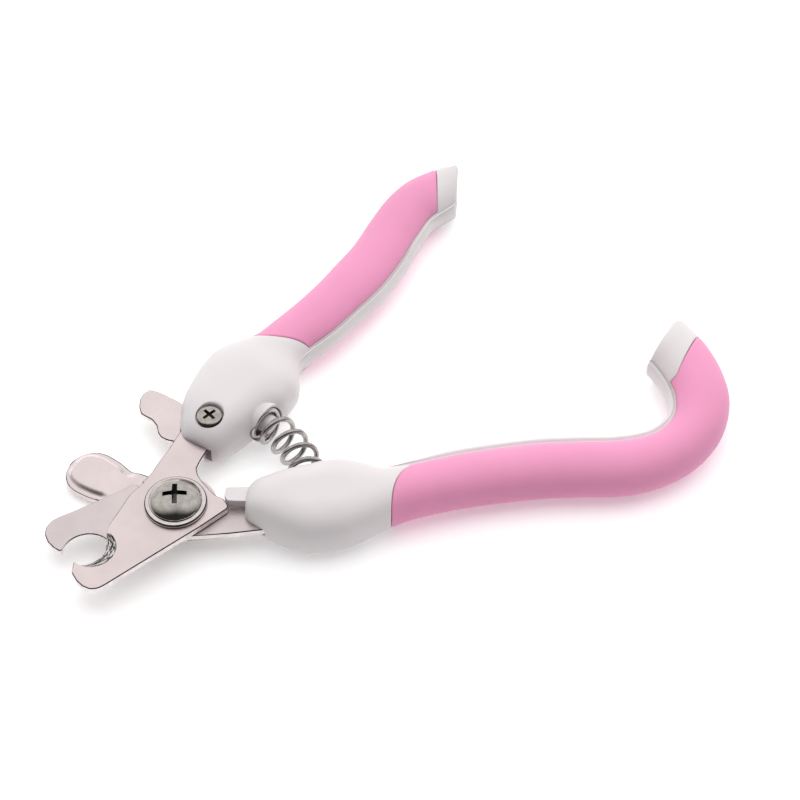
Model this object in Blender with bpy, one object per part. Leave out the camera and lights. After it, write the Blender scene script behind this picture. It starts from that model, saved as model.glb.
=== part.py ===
# Pet nail clipper, scissor type: two crossed blades on one pivot screw, each
# blade set into a moulded handle, with a nail guard, a lock lever and a return
# spring.  Metres, +Z up.  The clipper lies flat on its housings, fully open.
#
# Plan dimensions are given in millimetres from the pivot axis, X along the
# lower handle, Z up from the surface the clipper lies on.
import bpy
import bmesh
import math
import numpy as np
from mathutils import Vector

MM = 0.001
# position of the pivot axis in the part's own frame (origin: centre of the
# clipper's box, at the bottom)
PIVOT_X = -42.80
PIVOT_Y = -36.97

# ---------------------------------------------------------------- dimensions
MID_Z = 5.95              # mid-plane of the two housings
HOUSING_T = 11.9          # thickness of the housings
BLADE_T = 1.5             # blade plate thickness
LOWER_BLADE_Z = 4.50      # underside of the lower plate
UPPER_BLADE_Z = 6.10      # underside of the upper plate
PIVOT_R = 2.5             # M5 pivot screw
PIVOT_HOLE_R = 2.6
HEAD_R = 5.2
HEAD_H = 2.6
WASHER_R = 6.1
WASHER_T = 0.75
GUARD_T = 1.0
GUARD_Z = 3.35
GUARD_ANGLE = 147.5       # where the guard's arm points, open
LOCK = (5.6, 19.1)        # lock screw axis
LOCK_TURN = 5.5           # lever travel, degrees, pawl towards the pivot
PAWL_ANGLE = 138.0        # where the pawl's tip lies about the pivot, open
CLOSE_ANGLE = 26.0        # travel of the handles, degrees
LOCK_SCREW_R = 1.45
LOCK_HEAD_R = 2.5
SPRING_R = 26.9           # spring centre line, radius about the pivot
SPRING_COIL_R = 3.3
SPRING_WIRE_R = 0.55
SPRING_FROM, SPRING_TO = 55.0, 15.5      # degrees about the pivot
SPRING_TURNS = 5.755
SPRING_PHASE = 311.0      # where on the coil the upper end starts
BOSS_ANGLE = 52.0         # face of the upper spring boss
SOCKET_R = 4.2
GRIP_T = 1.5              # grip skin
GRIP_GAP = 0.25           # grip skin to core
NOTCH_UP = (-17.3, -9.2, 4.55)           # nail notch of the upper plate
NOTCH_LO = (-16.3, -11.2, 5.05)          # nail notch of the lower plate

# ------------------------------------------------------------------- helpers
for ob in list(bpy.data.objects):
    bpy.data.objects.remove(ob, do_unlink=True)


def material(name, rgb, rough, metal):
    m = bpy.data.materials.new(name)
    m.use_nodes = True
    b = m.node_tree.nodes["Principled BSDF"]
    b.inputs["Base Color"].default_value = (rgb[0], rgb[1], rgb[2], 1.0)
    b.inputs["Roughness"].default_value = rough
    b.inputs["Metallic"].default_value = metal
    return m


WHITE = material("white_plastic", (0.76, 0.73, 0.73), 0.38, 0.0)
PINK = material("pink_rubber", (0.86, 0.37, 0.56), 0.5, 0.0)
STEEL = material("blade_steel", (0.72, 0.68, 0.68), 0.3, 1.0)
CHROME = material("screw_chrome", (0.55, 0.53, 0.50), 0.18, 1.0)
WIRE = material("spring_wire", (0.62, 0.61, 0.62), 0.25, 1.0)


def world(p):
    """Plan millimetres about the pivot to the part's frame in metres."""
    return Vector(((p[0] + PIVOT_X) * MM, (p[1] + PIVOT_Y) * MM, p[2] * MM))


def empty(name, x, y):
    e = bpy.data.objects.new(name, None)
    e.location = world((x, y, 0.0))
    bpy.context.collection.objects.link(e)
    return e


# joint axes: every moving piece hangs on the empty of its own axis
PIVOT = empty("pivot_axis", 0.0, 0.0)
LOCK_AXIS = empty("lock_axis", LOCK[0], LOCK[1])
bpy.context.view_layer.update()


def make(name, verts, faces, mat, parent=PIVOT, smooth=True, angle=35.0):
    """Object from millimetre points in the pivot frame, origin on its axis."""
    o = parent.location
    me = bpy.data.meshes.new(name)
    pts = [tuple(world(v) - o) for v in verts]
    me.from_pydata(pts, [], faces)
    me.validate()
    bm = bmesh.new()
    bm.from_mesh(me)
    bmesh.ops.recalc_face_normals(bm, faces=bm.faces)
    bm.to_mesh(me)
    bm.free()
    if smooth:
        me.shade_smooth()
        me.set_sharp_from_angle(angle=math.radians(angle))
    if mat:
        me.materials.append(mat)
    ob = bpy.data.objects.new(name, me)
    bpy.context.collection.objects.link(ob)
    ob.parent = parent
    return ob


def cutter(name, verts, faces, parent=PIVOT):
    ob = make(name, verts, faces, None, parent, smooth=False)
    ob.hide_render = True
    ob.display_type = 'WIRE'
    return ob


def boolean(ob, tool, op='DIFFERENCE'):
    m = ob.modifiers.new(tool.name, 'BOOLEAN')
    m.operation = op
    m.solver = 'EXACT'
    m.object = tool
    return m


def prism(poly, z0, z1):
    """Closed prism over a plan polygon."""
    n = len(poly)
    v = [(x, y, z0) for x, y in poly] + [(x, y, z1) for x, y in poly]
    f = [list(range(n))[::-1], list(range(n, 2 * n))]
    f += [[i, (i + 1) % n, n + (i + 1) % n, n + i] for i in range(n)]
    return v, f


def circle(cx, cy, r, n=24, a0=0.0):
    return [(cx + r * math.cos(a0 + 2 * math.pi * i / n),
             cy + r * math.sin(a0 + 2 * math.pi * i / n)) for i in range(n)]


def lathe(cx, cy, profile, n=32):
    """Closed turned solid: profile of (r, z) from the top centre round to the
    bottom centre, or a closed ring when no radius is zero."""
    v, f = [], []
    ring = profile[0][0] > 0
    if ring:
        m = len(profile)
        for r, z in profile:
            v += [(x, y, z) for x, y in circle(cx, cy, r, n)]
        for k in range(m):
            a, b = k * n, ((k + 1) % m) * n
            f += [[a + i, a + (i + 1) % n, b + (i + 1) % n, b + i] for i in range(n)]
        return v, f
    inner = profile[1:-1]
    v.append((cx, cy, profile[0][1]))
    for r, z in inner:
        v += [(x, y, z) for x, y in circle(cx, cy, r, n)]
    v.append((cx, cy, profile[-1][1]))
    last = len(v) - 1
    f += [[0, 1 + i, 1 + (i + 1) % n] for i in range(n)]
    for k in range(len(inner) - 1):
        a, b = 1 + k * n, 1 + (k + 1) * n
        f += [[a + i, b + i, b + (i + 1) % n, a + (i + 1) % n] for i in range(n)]
    a = 1 + (len(inner) - 1) * n
    f += [[last, a + (i + 1) % n, a + i] for i in range(n)]
    return v, f


def tube_solid(p0, p1, r0, r1, n=28):
    """Straight or sheared round bar between two centres, circles level in the
    plane square to the line from p0 to p1 unless that line is steep."""
    p0, p1 = Vector(p0), Vector(p1)
    d = (p1 - p0).normalized()
    if abs(d.z) > 0.3:
        u, w = Vector((1, 0, 0)), Vector((0, 1, 0))
    else:
        u = Vector((-d.y, d.x, 0)).normalized()
        w = Vector((0, 0, 1))
    v = []
    for c, r in ((p0, r0), (p1, r1)):
        v += [tuple(c + u * r * math.cos(2 * math.pi * i / n)
                    + w * r * math.sin(2 * math.pi * i / n)) for i in range(n)]
    f = [list(range(n)), list(range(n, 2 * n))[::-1]]
    f += [[i, n + i, n + (i + 1) % n, (i + 1) % n] for i in range(n)]
    return v, f


def arc(cx, cy, r, a0, a1, n):
    """Arc points from angle a0 to a1, in degrees."""
    return [(cx + r * math.cos(math.radians(a0 + (a1 - a0) * i / n)),
             cy + r * math.sin(math.radians(a0 + (a1 - a0) * i / n)))
            for i in range(n + 1)]


# ------------------------------------------------------------ handle surface
class Path:
    """Smooth plan curve through control points, read by its length."""

    def __init__(self, ctrl, m=16):
        c = [np.array(p, float) for p in ctrl]
        c = [2 * c[0] - c[1]] + c + [2 * c[-1] - c[-2]]
        pts = []
        for i in range(1, len(c) - 2):
            for k in range(m):
                t = k / m
                a, b, d, e = c[i - 1], c[i], c[i + 1], c[i + 2]
                pts.append(0.5 * (2 * b + (d - a) * t
                                  + (2 * a - 5 * b + 4 * d - e) * t * t
                                  + (3 * b - a - 3 * d + e) * t ** 3))
        pts.append(c[-2])
        self.p = np.array(pts)
        seg = np.hypot(*np.diff(self.p, axis=0).T)
        self.s = np.concatenate([[0.0], np.cumsum(seg)])

    def at(self, s):
        return np.array([np.interp(s, self.s, self.p[:, 0]),
                         np.interp(s, self.s, self.p[:, 1])])

    def frame(self, s):
        h = 1.2
        a, b = self.at(max(s - h, 0.0)), self.at(min(s + h, self.s[-1]))
        t = (b - a) / np.hypot(*(b - a))
        return self.at(s), t


def curve(table):
    """Smooth monotone interpolation of (s, value) pairs."""
    x = np.array([p[0] for p in table], float)
    y = np.array([p[1] for p in table], float)
    h = np.diff(x)
    d = np.diff(y) / h
    m = np.zeros(len(x))
    m[0], m[-1] = d[0], d[-1]
    for i in range(1, len(x) - 1):
        if d[i - 1] * d[i] > 0:
            w1, w2 = 2 * h[i] + h[i - 1], h[i] + 2 * h[i - 1]
            m[i] = (w1 + w2) / (w1 / d[i - 1] + w2 / d[i])

    def f(s):
        s = min(max(s, x[0]), x[-1])
        i = min(int(np.searchsorted(x, s, side='right')) - 1, len(x) - 2)
        t = (s - x[i]) / h[i]
        return ((1 + 2 * t) * (1 - t) ** 2 * y[i] + t * (1 - t) ** 2 * h[i] * m[i]
                + t * t * (3 - 2 * t) * y[i + 1] + t * t * (t - 1) * h[i] * m[i + 1])
    return f


N_GRIP = 17               # columns round the gripped side of a section
N_RIM = 9                 # columns round the bare inner rim
PHI_B = math.radians(27)  # where the grip skin ends, from the inner side


class Handle:
    def __init__(self, path, side, inner, outer, half, mid, power, flange,
                 rim, lip, start, finish, tip, total, square=None):
        self.path, self.side = Path(path), side
        self.inner, self.outer = curve(inner), curve(outer)
        self.half, self.mid = curve(half), curve(mid)
        self.power, self.flange, self.rim = curve(power), curve(flange), curve(rim)
        self.lip = curve(lip)
        # plan X of the grip's end line and of a squared-off tip, if given
        self.square = square
        self.start, self.finish, self.tip = curve(start), curve(finish), curve(tip)
        self.total = total

    def local(self, s, col, off=0.0, nudge=0.0):
        """Offset across the handle and height above its mid-plane.
        Columns 0..N_GRIP-1 run from the upper edge of the inner rim over the
        top, round the outer side and back below; the rest are the rim."""
        ai, ao, c = self.inner(s), self.outer(s), self.half(s)
        p, w, f = self.power(s), self.flange(s), self.rim(s)
        ab = ai - self.lip(s) * w

        def ell(phi, sub):
            cx, sz = math.cos(phi), math.sin(phi)
            a = (ab if cx > 0 else ao) - sub
            z = (c - sub) * math.copysign(abs(sz) ** (2 / p), sz)
            return a * math.copysign(abs(cx) ** (2 / p), cx), max(-5.95, min(5.95, z))
        if col < N_GRIP:
            b = PHI_B + nudge
            return ell(b + (2 * math.pi - 2 * b) * col / (N_GRIP - 1), off)
        k = col - N_GRIP + 1
        x1, z1 = ell(-PHI_B + 2 * PHI_B * k / (N_RIM + 1), 0.0)
        if w <= 0:
            return x1 * (1 + 0.0 * w), z1
        xb, zb = ell(PHI_B, 0.0)
        edge = [(xb + 0.16, f + 0.35 * (zb - f)), (xb + 0.45, f),
                (ai - 0.75, f - 0.02), (ai - 0.15, f - 0.6), (ai, 0.0)]
        j = min(k, N_RIM + 1 - k) - 1
        x2, z2 = edge[j]
        z2 = -z2 if k < (N_RIM + 1) / 2 else z2
        return x1 + (x2 - x1) * w, z1 + (z2 - z1) * w

    def point(self, s, col, off=0.0, nudge=0.0, squash=1.0):
        x, z = self.local(s, col, off, nudge)
        c, t = self.path.frame(s)
        n = np.array([-t[1], t[0]]) * self.side
        q = c + n * x * (0.25 + 0.75 * squash if squash < 1 else 1.0)
        return (float(q[0]), float(q[1]), self.mid(s) + z * squash)

    def across(self, col, s):
        return self.local(s, col)[0]

    def s_start(self, col):
        return self.start(self.across(col, self.start(0.0)))

    def s_at(self, col, line):
        lo, hi = self.finish(0.0) - 10.0, self.path.s[-1]
        for _ in range(40):
            s = 0.5 * (lo + hi)
            x = self.local(s, col)[0]
            c, t = self.path.frame(s)
            if c[0] - t[1] * self.side * x < line(x):
                lo = s
            else:
                hi = s
        return 0.5 * (lo + hi)

    def s_finish(self, col):
        if self.square:
            return self.s_at(col, curve(self.square[0]))
        s = self.finish(0.0)
        return self.finish(self.across(col, s))

    def s_tip(self, col):
        if self.square:
            return self.s_at(col, curve(self.square[1]))
        return self.total + self.tip(self.across(col, self.total - 2.0))


def pair_cap(cols, base):
    """Faces that close a section from side to side, top column to its mirror."""
    g, r = N_GRIP, N_RIM
    order_top = [g // 2 - i for i in range(g // 2 + 1)]
    order_bot = [g // 2 + i for i in range(g // 2 + 1)]
    order_top += [g + r - 1 - i for i in range(r // 2 + 1)]
    order_bot += [g + i for i in range(r // 2 + 1)]
    f = []
    for i in range(len(order_top) - 1):
        a, b = base + order_top[i], base + order_top[i + 1]
        c, d = base + order_bot[i + 1], base + order_bot[i]
        q = [a, b, c, d]
        u = []
        for x in q:
            if x not in u:
                u.append(x)
        f.append(u)
    return f


def core_mesh(h, n_front, n_mid, n_end):
    cols = N_GRIP + N_RIM
    sunk = GRIP_T + GRIP_GAP
    verts, faces, rows = [], [], 0
    eps = 0.06
    # front: bare housing, rows close together at the nose
    front = [(i / (n_front - 1)) ** 1.7 for i in range(n_front)]
    for u in front:
        for c in range(cols):
            verts.append(h.point(u * h.s_start(c), c))
        rows += 1
    for i in range(n_mid):
        u = i / (n_mid - 1)
        for c in range(cols):
            a, b = h.s_start(c) + eps, h.s_finish(c) - eps
            verts.append(h.point(a + (b - a) * u, c, sunk if c < N_GRIP else 0.0))
        rows += 1
    for i in range(n_end):
        u = i / (n_end - 1)
        for c in range(cols):
            a, b = h.s_finish(c), h.s_tip(c) - 0.7
            verts.append(h.point(a + (b - a) * u, c))
        rows += 1
    for c in range(cols):
        verts.append(h.point(h.s_tip(c), c, 0.0, 0.0, 0.86))
    rows += 1
    for r in range(rows - 1):
        for c in range(cols):
            d = (c + 1) % cols
            faces.append([r * cols + c, r * cols + d, (r + 1) * cols + d, (r + 1) * cols + c])
    faces += pair_cap(cols, 0)
    faces += [f[::-1] for f in pair_cap(cols, (rows - 1) * cols)]
    return verts, faces


def grip_mesh(h, n_rows):
    """C-shaped skin, outer face flush with the housings."""
    verts, faces = [], []
    cols = N_GRIP
    for layer, off in ((0, 0.0), (1, GRIP_T)):
        for i in range(n_rows):
            u = i / (n_rows - 1)
            for c in range(cols):
                a, b = h.s_start(c) + 0.32, h.s_finish(c) - 0.32
                verts.append(h.point(a + (b - a) * u, c, off, math.radians(4.0)))
    n = n_rows * cols
    for i in range(n_rows - 1):
        for c in range(cols - 1):
            q = [i * cols + c, i * cols + c + 1, (i + 1) * cols + c + 1, (i + 1) * cols + c]
            faces.append(q)
            faces.append([n + x for x in q[::-1]])
        for c in (0, cols - 1):
            a, b = i * cols + c, (i + 1) * cols + c
            faces.append([a, b, n + b, n + a])
    for r in (0, n_rows - 1):
        for c in range(cols - 1):
            a, b = r * cols + c, r * cols + c + 1
            faces.append([a, b, n + b, n + a])
    return verts, faces


# the lower handle: swelling housing, waist, long grip and hooked end
LOWER = Handle(
    path=[(13.6, 0.0), (20, -0.2), (27, 0.3), (34, 1.2), (41, 2.4), (47.4, 4.3),
          (55.2, 6.7), (63, 8.4), (71, 9.7), (79, 10.2), (87, 10.5), (94.5, 12.4),
          (99.8, 16.1), (103.2, 21.0), (104.5, 27.0), (103.6, 33.0), (101.5, 38.5),
          (98.6, 43.0), (97.0, 45.3)],
    side=1,
    inner=[(0, 4.2), (1, 5.6), (2, 6.3), (4, 7.0), (8, 8.0), (12, 8.9), (16, 9.6),
           (19, 9.6), (22, 8.9), (24.5, 7.9), (27, 6.9), (29.5, 6.6), (34, 6.7),
           (44, 7.0), (56, 7.1), (70, 7.1), (80, 6.8), (88, 6.3), (94, 6.2),
           (100, 6.5), (106, 6.7), (112, 7.1), (120.5, 7.5)],
    outer=[(0, 2.6), (1, 3.6), (2.5, 4.4), (4, 5.3), (6, 6.6), (8, 7.8), (10, 8.7),
           (12, 9.2), (15, 9.3), (18, 9.0), (21, 8.1), (24, 7.0), (27, 5.9),
           (30, 5.2), (34, 5.1), (44, 5.5), (56, 5.8), (76, 5.95), (84, 5.4),
           (90, 5.4), (96, 5.7), (104, 6.4), (112, 6.7), (120.5, 6.9)],
    half=[(0, 3.0), (1, 4.0), (2.5, 4.9), (5, 5.6), (8, 6.0), (11, 6.12), (18, 6.12),
          (22, 5.8), (26, 5.3), (30, 4.9), (36, 4.75), (90, 4.9), (104, 5.2), (120.5, 5.2)],
    mid=[(0, 5.95), (24, 5.95), (60, 5.3), (100, 5.22), (120.5, 5.22)],
    power=[(0, 2.2), (4, 2.4), (8, 2.6), (20, 2.6), (32, 2.1), (120.5, 2.1)],
    flange=[(0, 0.0), (26, 0.0), (34, 1.0), (120.5, 1.0)],
    rim=[(0, 2.6), (26, 2.6), (36, 2.1), (84, 2.1), (104, 1.9), (120.5, 2.1)],
    lip=[(0, 0.4), (28, 0.4), (36, 1.0), (46, 1.25), (80, 1.2), (92, 1.0), (102, 0.7), (120.5, 0.6)],
    start=[(-9, 26.4), (-5.4, 27.1), (-2, 28.2), (0.6, 29.6), (3.2, 31.7), (5, 33.6), (7, 34.0)],
    finish=[(-6.5, 114.7), (-4.8, 114.2), (-2.5, 112.9), (0.4, 110.7), (2.7, 108.5), (4.5, 106.6), (6.5, 106.0)],
    tip=[(-7.2, 0.6), (-5.2, 1.4), (0, -0.6), (7.2, -3.3)],
    total=118.6)

# the upper handle: same housing, straighter grip and a flared end
UPPER = Handle(
    path=[(3.1, 14.6), (7.0, 21.2), (11.4, 29.0), (15.6, 36.0), (20.3, 42.3),
          (25.7, 48.3), (30.6, 54.7), (35.1, 61.1), (39.1, 68.0), (42.4, 75.2),
          (45.8, 81.6), (49.5, 86.0), (53.0, 89.2), (57.2, 93.0), (62.0, 97.3)],
    side=-1,
    inner=[(0, 3.9), (1, 4.8), (3, 5.6), (6, 6.3), (10, 7.3), (14, 8.7), (18, 10.1),
           (21.5, 10.1), (24, 9.3), (26, 8.1), (28, 6.7), (30, 6.0), (34, 6.1),
           (40, 6.3), (48, 6.4), (56, 6.7), (64, 6.5), (72, 6.3), (78, 6.2),
           (82, 6.5), (86, 7.0), (95.5, 7.3)],
    outer=[(0, 3.8), (2, 5.6), (4, 6.8), (6, 8.0), (8, 8.8), (10, 9.4), (14, 10.1),
           (18, 10.6), (20.5, 10.6), (23, 10.0), (25, 8.9), (27, 7.7), (30, 6.4),
           (34, 6.3), (40, 6.5), (48, 6.5), (56, 6.8), (64, 6.5), (72, 6.4),
           (78, 6.4), (84, 6.35), (88.3, 5.45), (91.2, 4.55), (92.8, 3.8), (94.2, 2.7),
           (95.4, 1.7), (97, 1.0), (101, 0.6)],
    half=[(0, 3.0), (1, 4.0), (2.5, 4.9), (5, 5.6), (8, 6.0), (11, 6.12), (19, 6.12),
          (23, 5.8), (27, 5.2), (31, 4.9), (36, 4.75), (76, 4.9), (86, 5.2), (95.5, 5.2)],
    mid=[(0, 5.95), (24, 5.95), (60, 5.3), (80, 5.22), (95.5, 5.22)],
    power=[(0, 2.2), (4, 2.4), (8, 2.6), (20, 2.6), (33, 2.1), (95.5, 2.1)],
    flange=[(0, 0.0), (26, 0.0), (35, 1.0), (95.5, 1.0)],
    rim=[(0, 2.6), (26, 2.6), (36, 1.8), (80, 1.8), (95.5, 2.2)],
    lip=[(0, 0.4), (28, 0.4), (36, 0.5), (64, 0.45), (78, 0.22), (95.5, 0.25)],
    start=[(-6, 27.4), (-4.5, 28.2), (-1, 29.9), (2.9, 32.2), (5.5, 33.8), (7, 34.3)],
    finish=[(-6, 90.3), (-4.2, 90.2), (-2, 89.6), (1.2, 87.6), (4.5, 84.4), (6.5, 82.6)],
    tip=[(-6.4, -4.2), (-5.25, -1.3), (-3.8, 1.6), (-1.2, 4.6), (2.0, 2.6), (7.2, -2.5)],
    total=90.3,
    square=([(-6.5, 50.6), (-3.0, 51.4), (0.0, 51.7), (7.0, 51.9)], [(-6.5, 56.3), (0.0, 56.6), (7.0, 56.2)]))

lower_core = make("lower_handle_core", *core_mesh(LOWER, 13, 20, 4), WHITE)
lower_grip = make("lower_grip", *grip_mesh(LOWER, 20), PINK)
upper_core = make("upper_handle_core", *core_mesh(UPPER, 13, 17, 4), WHITE)
upper_grip = make("upper_grip", *grip_mesh(UPPER, 17), PINK)

# --------------------------------------------------------------- the blades
# lower plate: upper jaw with its nail notch, pivot disc with the lock tooth,
# and a tang into the lower handle
cx, cy, cr = NOTCH_LO


def polar(pairs):
    return [(r * math.cos(math.radians(a)), r * math.sin(math.radians(a))) for a, r in pairs]


# edge of the pivot disc under the pawl, as (angle, radius): a floor that the
# dropped pawl lies on when closed, the tooth it bears on, and a lower back
# that leaves the pawl free to turn when open
closed_tip = PAWL_ANGLE - CLOSE_ANGLE
LOCK_PROFILE = polar([(closed_tip - 38, 8.2), (closed_tip - 32, 7.85), (closed_tip - 22, 7.15),
                      (closed_tip - 12, 6.75), (closed_tip + 1.2, 6.6), (closed_tip + 1.8, 7.4),
                      (closed_tip + 6, 7.1), (closed_tip + 12, 6.85), (closed_tip + 19, 6.65),
                      (closed_tip + 28, 6.6), (closed_tip + 34, 6.8)])
lower_outline = (
    [(-8.7, 6.2), (-10.8, 4.7), (-13.8, 3.0), (-17.0, 1.1), (-20.6, -0.9), (-22.5, -1.8),
     (-24.0, -2.9), (-24.9, -4.4), (-25.0, -6.2), (-24.2, -8.0), (-22.9, -9.4),
     (-21.5, -10.3)]
    + arc(cx, cy, cr, 156, 52, 11)
    + [(-12.2, -8.0), (-9.0, -9.4), (-5.0, -8.9), (-1.5, -7.4), (2.1, -6.7),
       (10.7, -6.0), (18.0, -5.0), (35.0, -3.4), (35.0, 3.4), (18.0, 1.9),
       (10.0, 0.4), (7.6, 3.0)]
    + arc(0, 0, 8.2, 28, 70, 6) + LOCK_PROFILE)
lower_blade = make("lower_blade", *prism(lower_outline, LOWER_BLADE_Z, LOWER_BLADE_Z + BLADE_T),
                   STEEL, smooth=False)
boolean(lower_blade, cutter("cut_lower_pivot", *prism(circle(0, 0, PIVOT_HOLE_R, 32), 3.0, 7.0)))
# the notch is ground from below, so the cutting edge is on the upper face
z_edge, z_far = LOWER_BLADE_Z + BLADE_T - 0.25, LOWER_BLADE_Z - 0.6
v, f = tube_solid((cx, cy + 2.0 * (z_edge - z_far) / 1.3, z_far),
                  (cx, cy - 2.0 * 0.8 / 1.3, z_edge + 0.8), cr, cr, 32)
boolean(lower_blade, cutter("cut_lower_grind", v, f))

# upper plate: lower jaw, opening stop, arm into the upper handle
ux, uy, ur = NOTCH_UP
upper_outline = (
    [(-12.8, -5.7)] + arc(ux, uy, ur, 14, -104, 12)
    + [(-18.6, -16.2), (-17.5, -18.1), (-16.2, -19.4), (-14.7, -20.1), (-13.2, -19.9),
       (-12.1, -19.2), (-2.2, -11.3), (5.0, -5.6), (10.4, -0.9), (9.1, 1.3), (7.5, 2.0),
       (6.0, 3.8), (4.9, 5.2), (3.8, 7.0), (3.4, 8.6), (4.0, 10.5), (5.0, 12.8),
       (8.2, 18.5), (9.0, 22.0), (12.5, 31.0), (8.6, 33.0), (2.4, 23.0),
       (-0.5, 17.9), (-2.5, 13.3), (-3.9, 10.7), (-5.3, 7.7), (-7.0, 4.8),
       (-9.1, 2.3), (-10.1, 0.1), (-11.2, -2.3), (-12.0, -4.0)])
upper_blade = make("upper_blade", *prism(upper_outline, UPPER_BLADE_Z, UPPER_BLADE_Z + BLADE_T),
                   STEEL, smooth=False)
boolean(upper_blade, cutter("cut_upper_pivot", *prism(circle(0, 0, PIVOT_HOLE_R, 32), 5.0, 9.0)))
boolean(upper_blade, cutter("cut_upper_lock", *prism(circle(LOCK[0], LOCK[1], 1.8, 20), 5.0, 9.0)))
# the notch is ground from above, so the cutting edge is on the lower face
z_edge, z_far = UPPER_BLADE_Z + 0.25, UPPER_BLADE_Z + BLADE_T + 0.6
k = (z_far - z_edge) / 1.25
v, f = tube_solid((ux - 2.1 * 0.8 / 1.25, uy + 1.3 * 0.8 / 1.25, z_edge - 0.8),
                  (ux + 2.1 * k, uy - 1.3 * k, z_far), ur, ur, 32)
boolean(upper_blade, cutter("cut_upper_grind", v, f))

# ------------------------------------------------------- housings, cut to fit
PLATE_GAP = 0.15
tang = [(9.0, -6.5), (18.0, -5.3), (35.4, -3.7), (35.4, 3.7), (18.0, 2.2), (9.0, 0.6)]
boolean(lower_core, cutter("cut_lower_tang", *prism(
    tang, LOWER_BLADE_Z - PLATE_GAP, LOWER_BLADE_Z + BLADE_T + PLATE_GAP)))
# opening stop: a block on the nose, over the tang, that meets the upper plate
stop = [(9.6, 3.3), (9.36, 1.42), (10.1, 0.15), (15.6, -0.1), (15.6, 3.5)]
boolean(lower_core, cutter("add_stop_block", *prism(stop, 6.3, 8.4)), 'UNION')


def radial(angle, r=SPRING_R):
    a = math.radians(angle)
    return r * math.cos(a), r * math.sin(a)


def spring_socket(name, face_angle, out_len, depth, direction, r=SOCKET_R):
    """Bore for the spring end, along the tangent at the mouth."""
    x, y = radial(face_angle)
    a = math.radians(face_angle)
    t = (-math.sin(a) * direction, math.cos(a) * direction)
    p0 = (x - t[0] * out_len, y - t[1] * out_len, MID_Z)
    p1 = (x + t[0] * depth, y + t[1] * depth, MID_Z)
    return cutter(name, *tube_solid(p0, p1, r, r, 24))


# spring boss on the upper housing
bx, by = radial(BOSS_ANGLE, 27.3)
ba = math.radians(BOSS_ANGLE)
v, f = tube_solid((bx, by, MID_Z), (bx - math.sin(ba) * 7.5, by + math.cos(ba) * 7.5, MID_Z), 4.3, 5.0, 28)
boolean(upper_core, cutter("add_spring_boss", v, f), 'UNION')
boolean(upper_core, spring_socket("cut_upper_socket", BOSS_ANGLE, 3.0, 2.3, 1, 3.98))
# stub inside the coil
v, f = tube_solid((bx + math.sin(ba) * 1.1, by - math.cos(ba) * 1.1, MID_Z),
                  (bx - math.sin(ba) * 4.0, by + math.cos(ba) * 4.0, MID_Z), 1.9, 2.35, 20)
boolean(upper_core, cutter("add_spring_stub", v, f), 'UNION')
boolean(lower_core, spring_socket("cut_lower_socket", 22.5, 6.0, 4.6, -1))

arm_pocket = [(5.6, 12.0), (8.55, 18.3), (9.35, 21.9), (12.95, 31.15), (8.5, 33.5),
              (2.1, 23.2), (-0.9, 18.0), (-3.2, 13.2)]
boolean(upper_core, cutter("cut_upper_tang", *prism(
    arm_pocket, UPPER_BLADE_Z - PLATE_GAP, UPPER_BLADE_Z + BLADE_T + PLATE_GAP)))
lever_slot = [(9.9, 20.0), (8.5, 22.5), (5.8, 24.3), (-2.5, 30.9), (-12.0, 31.4), (-14.0, 12.0),
              (-3.0, 3.0), (1.0, 6.5), (7.6, 14.9), (9.9, 17.5)]
boolean(upper_core, cutter("cut_lever_slot", *prism(lever_slot, 4.35, UPPER_BLADE_Z)))
boolean(upper_core, cutter("cut_lock_hole", *prism(circle(LOCK[0], LOCK[1], 1.8, 20), 1.5, 13.0)))
boolean(upper_core, cutter("cut_lock_washer", *prism(circle(LOCK[0], LOCK[1], 3.7, 24), 3.6, 4.5)))
boolean(upper_core, cutter("cut_lock_head", *prism(circle(LOCK[0], LOCK[1], 2.85, 28), 10.1, 13.0)))
boolean(upper_core, cutter("cut_lock_nut", *prism(circle(LOCK[0], LOCK[1], 3.55, 6), -1.0, 2.8)))

# ---------------------------------------------------------------- pivot stack
z_head = UPPER_BLADE_Z + BLADE_T + 0.1 + WASHER_T + 0.1
dome = [(0.0, z_head + HEAD_H)]
for i in range(1, 8):
    r = HEAD_R * math.sin(math.radians(90 * i / 7))
    dome.append((r, z_head + 0.3 + (HEAD_H - 0.3) * max(0.0, 1 - (r / HEAD_R) ** 2) ** 0.6))
dome += [(HEAD_R, z_head), (PIVOT_R, z_head), (PIVOT_R, 0.75), (PIVOT_R - 0.4, 0.35), (0.0, 0.35)]
pivot_screw = make("pivot_screw", *lathe(0, 0, dome, 32), CHROME)


def cross(cx, cy, z0, z1, half, arm, a0=0.0):
    """Tapered cross recess, wider at the top."""
    v, f = [], []
    for z, k in ((z0, 0.55), (z1, 1.15)):
        h, w = half * k, arm * (0.7 + 0.3 * k)
        pts = [(h, w), (w, w), (w, h), (-w, h), (-w, w), (-h, w), (-h, -w), (-w, -w),
               (-w, -h), (w, -h), (w, -w), (h, -w)]
        c, s = math.cos(a0), math.sin(a0)
        v += [(cx + x * c - y * s, cy + x * s + y * c, z) for x, y in pts]
    n = 12
    f = [list(range(n)), list(range(n, 2 * n))[::-1]]
    f += [[i, n + i, n + (i + 1) % n, (i + 1) % n] for i in range(n)]
    return v, f


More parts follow.
